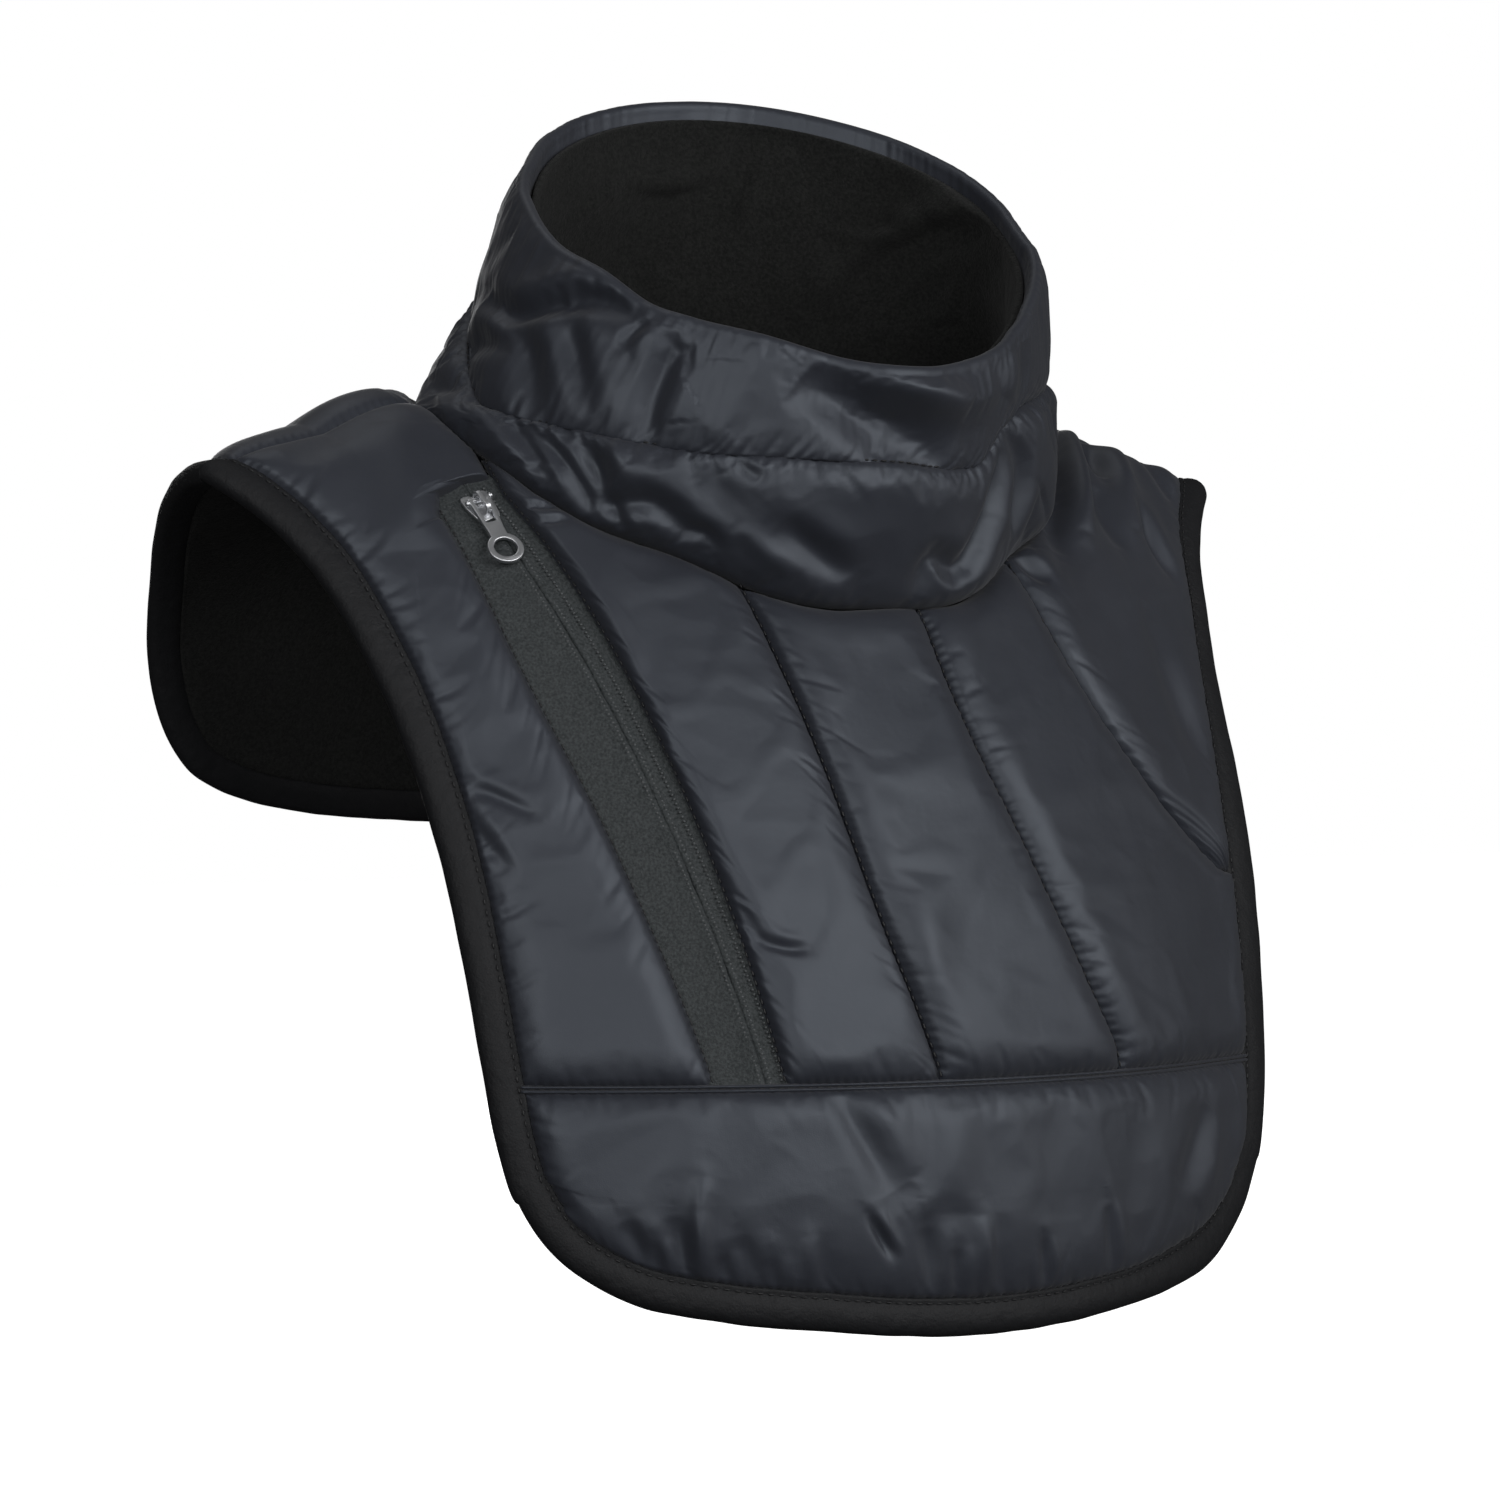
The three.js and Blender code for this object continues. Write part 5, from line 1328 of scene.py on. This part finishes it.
def sewn(name, paths, material, pitch=3.2, thread=0.32, length=2.3):
    """Stitches along paths. A path is (points, outward directions, closed), in mm."""
    points = np.concatenate([p for p, _, _ in paths]) * MM
    outward = np.concatenate([o for _, o, _ in paths])
    edges, start = [], 0
    for p, _, closed in paths:
        edges += [(start + k, start + k + 1) for k in range(len(p) - 1)]
        if closed:
            edges.append((start + len(p) - 1, start))
        start += len(p)
    mesh = bpy.data.meshes.new(name + "_path")
    mesh.from_pydata(points.tolist(), edges, [])
    mesh.attributes.new("outward", "FLOAT_VECTOR", "POINT").data.foreach_set("vector", outward.ravel())
    holder = bpy.data.objects.new(name + "_path", mesh)
    bpy.context.scene.collection.objects.link(holder)
    modifier = holder.modifiers.new("Sewn row", "NODES")
    modifier.node_group = sewn_row
    values = {"Pitch": pitch * MM, "Thread": thread * MM, "Length": length * MM, "Thread material": material}
    for item in sewn_row.interface.items_tree:
        if item.in_out == "INPUT" and item.name in values:
            modifier[item.identifier] = values[item.name]
    bpy.context.view_layer.update()
    made_mesh = bpy.data.meshes.new_from_object(holder.evaluated_get(bpy.context.evaluated_depsgraph_get()))
    bpy.data.objects.remove(holder)
    made_mesh.polygons.foreach_set("use_smooth", [True] * len(made_mesh.polygons))
    made = bpy.data.objects.new(name, made_mesh)
    bpy.context.scene.collection.objects.link(made)
    scene_pieces[name] = made


print("stitch tree has", len(sewn_row.nodes), "nodes")

# %% [markdown]
# Five finishes carry the look: dark nylon, black fleece, matte knit, woven tape and dull metal. The
# finest grain of nylon and tape follows the piece's own UV map, in metres, so a thread has the same
# size on every panel. The coarser noise reads Object coordinates, so it runs on across the seams.

# %% Material helpers
def principled(name, colour, roughness, metallic=0.0):
    material = bpy.data.materials.new(name)
    material.use_nodes = True
    shader = material.node_tree.nodes["Principled BSDF"]
    shader.inputs["Base Color"].default_value = (*colour, 1)
    shader.inputs["Roughness"].default_value = roughness
    shader.inputs["Metallic"].default_value = metallic
    return material, shader


def bump_chain(material, shader, layers):
    """Bump from layers of noise: (coordinates, scale, height in metres), one after the other."""
    node, link = material.node_tree.nodes.new, material.node_tree.links.new
    coordinates = node("ShaderNodeTexCoord")
    previous = None
    for source, scale, height in layers:
        pattern, bump = node("ShaderNodeTexNoise"), node("ShaderNodeBump")
        pattern.inputs["Scale"].default_value = scale
        pattern.inputs["Detail"].default_value = 3.0
        bump.inputs["Distance"].default_value = height
        bump.inputs["Strength"].default_value = 1.0
        link(coordinates.outputs[source], pattern.inputs["Vector"])
        link(pattern.outputs["Fac"], bump.inputs["Height"])
        if previous is not None:
            link(previous.outputs["Normal"], bump.inputs["Normal"])
        previous = bump
    link(previous.outputs["Normal"], shader.inputs["Normal"])


def mottled(material, shader, source, scale, dark, light):
    """Base colour that drifts between two tones, as an uneven dye or a brushed pile does."""
    node, link = material.node_tree.nodes.new, material.node_tree.links.new
    coordinates, pattern = node("ShaderNodeTexCoord"), node("ShaderNodeTexNoise")
    tones = node("ShaderNodeValToRGB")
    pattern.inputs["Scale"].default_value = scale
    pattern.inputs["Detail"].default_value = 4.0
    tones.color_ramp.elements[0].position = 0.35
    tones.color_ramp.elements[1].position = 0.65
    tones.color_ramp.elements[0].color = (*dark, 1)
    tones.color_ramp.elements[1].color = (*light, 1)
    link(coordinates.outputs[source], pattern.inputs["Vector"])
    link(pattern.outputs["Fac"], tones.inputs["Fac"])
    link(tones.outputs["Color"], shader.inputs["Base Color"])


print("helpers ready: principled, bump_chain, mottled")

# %% [markdown]
# The nylon is a tight plain weave with a soft shine. Its dye is a little uneven and the padding
# behind it shows as a faint quilted wave, so there are two sizes of soft noise and a very fine one
# for the threads.

# %% Dark nylon
nylon, shader = principled("dark nylon", (0.0165, 0.0181, 0.0245), 0.5)
shader.inputs["Specular IOR Level"].default_value = 0.56
shader.inputs["Specular Tint"].default_value = (0.82, 0.9, 1.0, 1)
shader.inputs["Sheen Weight"].default_value = 0.08
shader.inputs["Sheen Roughness"].default_value = 0.5
bump_chain(nylon, shader, [("Object", 60, 0.0003), ("Object", 420, 0.00004), ("UV", 2600, 0.00003)])
mottled(nylon, shader, "Object", 34, (0.0155, 0.017, 0.0235), (0.019, 0.0206, 0.0275))
print("nylon roughness", round(shader.inputs["Roughness"].default_value, 2))

# %% [markdown]
# Fleece, knit and tape are all matte. What tells them apart is the size of their relief: a deep soft
# pile, a fine even knit and coarse woven threads.

# %% Fleece, knit, tape, metal and thread
fleece, shader = principled("black fleece", (0.0095, 0.0098, 0.0094), 0.95)
shader.inputs["Specular IOR Level"].default_value = 0.12
shader.inputs["Sheen Weight"].default_value = 0.04
shader.inputs["Sheen Roughness"].default_value = 0.6
bump_chain(fleece, shader, [("Object", 160, 0.0009), ("Object", 1400, 0.0004)])
mottled(fleece, shader, "Object", 900, (0.0062, 0.0066, 0.0063), (0.0135, 0.0138, 0.0132))
knit, shader = principled("binding knit", (0.0085, 0.0088, 0.01), 0.62)
shader.inputs["Specular IOR Level"].default_value = 0.22
bump_chain(knit, shader, [("Object", 260, 0.0005), ("Object", 1500, 0.00015)])
tape, shader = principled("woven tape", (0.027, 0.031, 0.034), 0.7)
shader.inputs["Specular IOR Level"].default_value = 0.25
bump_chain(tape, shader, [("Object", 900, 0.0006), ("UV", 2400, 0.0002)])
mottled(tape, shader, "Object", 1300, (0.02, 0.0235, 0.0245), (0.045, 0.05, 0.052))
metal, shader = principled("gunmetal", (0.62, 0.63, 0.65), 0.42, 1.0)
bump_chain(metal, shader, [("Object", 700, 0.00006)])
# Near-black thread. On the seams it is also painted shade: the rows stand for the dark shadow in each seam's
# groove.
thread, _ = principled("sewing thread and painted seam shade", (0.004, 0.004, 0.005), 0.6)
tape_thread, _ = principled("tape thread", (0.07, 0.075, 0.078), 0.7)

FINISHES = {
    "panel": nylon,
    "tier": nylon,
    "piping": nylon,
    "fleece": fleece,
    "binding": knit,
    "tape": tape,
    "metal": metal,
}


def by_word(table, name):
    """The table's first entry whose word is part of the name."""
    return next(value for word, value in table.items() if word in name)


for name, made in scene_pieces.items():
    made.data.materials.clear()
    made.data.materials.append(by_word(FINISHES, name))
print("materials:", [m.name for m in (nylon, fleece, knit, tape, metal, thread, tape_thread)])

# %% [markdown]
# Rows of stitches run down every seam, round the edge and along the zip's tape. Each stitch could be
# modelled by hand, but a row is only a line and a pitch, so the tree above sews them all.

# %% Sewn rows
def path_along(row, lift, closed=False):
    """A line in (x, turn), lifted off the form, with the cloth's outward direction at each point."""
    return lifted(row, lift), form_normal(row[:, 0], row[:, 1]), closed


stitch_row = inset_loop(binding_loop, binding_width(binding_loop) - 1.2)
sewn("binding_stitches", [path_along(stitch_row, 0.95, True)], thread, pitch=3.4)
tape_rows = []
for move in (-1.5, 1.5, 5.2):
    row = sideways(zip_middle, np.gradient(zip_middle, axis=0), move)
    tape_rows.append(path_along(row, TAPE_LIFT + 0.55))
sewn("zip_tape_stitches", tape_rows, tape_thread, pitch=1.5, thread=0.45, length=0.85)
hem_seam = hem_line(corner_left[0], corner_right[0])
# The seam rows are real stitches, near-black and almost continuous (2.4 mm long on a 3 mm pitch), so they
# also paint a dark shade line along each seam and along the tier seam.
seam_rows = [seam_a, seam_b, seam_c, zip_inner, zip_outer, hem_seam]
seam_paths = [path_along(evenly(row, 200), SEAM_LIFT + 0.3) for row in seam_rows]
tier_normals = wall_direction(collar_angles, 1.0)
seam_paths.append((collar_line(collar_angles, 1.0) + tier_normals * 0.9, tier_normals, True))
sewn("seam_stitches", seam_paths, thread, pitch=STITCH_PITCH, thread=0.34, length=2.4)
print("sewn rows:", 1 + len(tape_rows) + len(seam_paths))

# %% [markdown]
# The camera stands where the photographer stood: a little to the wearer's right and level with the
# chest, far away with a long lens, so the sides of the collar barely converge.

# %% Camera
TARGET = Vector((0, -0.010, -0.107))
AZIMUTH, ELEVATION, DISTANCE = math.radians(-32), math.radians(1), 1.84
camera_data = bpy.data.cameras.new("camera")
camera_data.lens = 136.8
camera_data.sensor_width = 36
camera = bpy.data.objects.new("camera", camera_data)
level = math.cos(ELEVATION)
towards_camera = Vector((math.sin(AZIMUTH) * level, -math.cos(AZIMUTH) * level, math.sin(ELEVATION)))
camera.location = TARGET + towards_camera * DISTANCE
camera.rotation_euler = (-towards_camera).to_track_quat("-Z", "Y").to_euler()
bpy.context.scene.collection.objects.link(camera)
bpy.context.scene.camera = camera
print("camera at", [round(c, 3) for c in camera.location])

# %% [markdown]
# A product photo's ground is white to the horizon. A floor lit only by the lamps would fade out, so
# this one glows by itself, and it is kept out of the cloth's own light and reflections. The world
# does the same behind it: white for the camera, nearly dark for everything else.

# %% Floor and backdrop
FLOOR_REACH, FLOOR_Z = 6000, -420
around = ((-1, -1), (1, -1), (1, 1), (-1, 1))
floor_corners = [(a * FLOOR_REACH, b * FLOOR_REACH, FLOOR_Z) for a, b in around]
floor = mesh_object("floor", floor_corners, [(0, 1, 2, 3)])
floor_paint, shader = principled("pale floor", (0.85, 0.85, 0.85), 0.9)
shader.inputs["Emission Color"].default_value = (1, 1, 1, 1)
shader.inputs["Emission Strength"].default_value = 1.0
floor.data.materials.append(floor_paint)
floor.visible_diffuse = False
floor.visible_glossy = False
world = bpy.data.worlds.new("studio")
bpy.context.scene.world = world
world.use_nodes = True
backdrop = world.node_tree.nodes["Background"]
seen_by = world.node_tree.nodes.new("ShaderNodeLightPath")
strength = world.node_tree.nodes.new("ShaderNodeMapRange")
strength.inputs["To Min"].default_value = 0.04
strength.inputs["To Max"].default_value = 1.0
backdrop.inputs["Color"].default_value = (1, 1, 1, 1)
world.node_tree.links.new(seen_by.outputs["Is Camera Ray"], strength.inputs["Value"])
world.node_tree.links.new(strength.outputs["Result"], backdrop.inputs["Strength"])
print("floor at", FLOOR_Z, "mm")

# %% [markdown]
# Dark shiny cloth shows its shape only by what it mirrors, so the lamps are large and soft. The key
# stands in front and high, a second one lights the zip's side, and weak ones keep the other sides
# readable.

# %% Softboxes
SOFTBOXES = [
    # name, place, width and height in metres, power in watts
    ("key_softbox", (0.45, -2.1, 0.8), 2.2, 1.4, 39),
    ("fill_softbox", (-1.9, -1.5, 0.6), 1.2, 1.0, 20),
    ("side_softbox", (1.9, -1.4, 0.1), 1.0, 1.0, 5),
    ("top_softbox", (-0.3, 0.5, 1.9), 1.2, 0.8, 4),
    ("low_softbox", (-1.0, -1.6, -0.35), 0.8, 0.3, 3),
    ("back_softbox", (0.9, 2.3, 0.2), 1.6, 1.2, 10),
]


def softbox(name, place, width, height, power):
    light_data = bpy.data.lights.new(name, "AREA")
    light_data.shape = "RECTANGLE"
    light_data.size, light_data.size_y = width, height
    light_data.energy = power
    light = bpy.data.objects.new(name, light_data)
    light.location = Vector(place)
    light.rotation_euler = (TARGET - Vector(place)).to_track_quat("-Z", "Y").to_euler()
    bpy.context.scene.collection.objects.link(light)


for row in SOFTBOXES:
    softbox(*row)
bpy.context.scene.view_settings.view_transform = "Standard"
print("softboxes:", len(SOFTBOXES))

# %% [markdown]
# Last, every piece is attached to the body it rides on, and the solid it stands for is hidden.

# %% Bodies and hidden solids
STANDS_FOR = {
    "side_panel_right_padded": "side_panel_right",
    "front_panel_zip_side_padded": "front_panel_zip_side",
    "front_panel_middle_padded": "front_panel_middle",
    "front_panel_outer_padded": "front_panel_outer",
    "shoulder_panel_left_padded": "shoulder_panel_left",
    "hem_panel_padded": "hem_panel",
    "back_panel_padded": "back_panel",
    "collar_lower_tier_padded": "collar_lower_tier",
    "collar_upper_tier_padded": "collar_upper_tier",
    "hem_piping_double": "hem_piping",
    "body_lining_fleece": "body_lining",
    "collar_lining_fleece": "collar_lining",
    "edge_binding_rolled": "edge_binding",
    "zip_tape_right_woven": "zip_tape_right",
    "zip_tape_left_woven": "zip_tape_left",
    "zip_slider_metal": "zip_slider",
    "zip_pull_metal": "zip_pull",
}
for name, made in scene_pieces.items():
    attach(made, "zip_pull" if name == "zip_pull_metal" else "garment")
    if name in STANDS_FOR:
        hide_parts(STANDS_FOR[name])
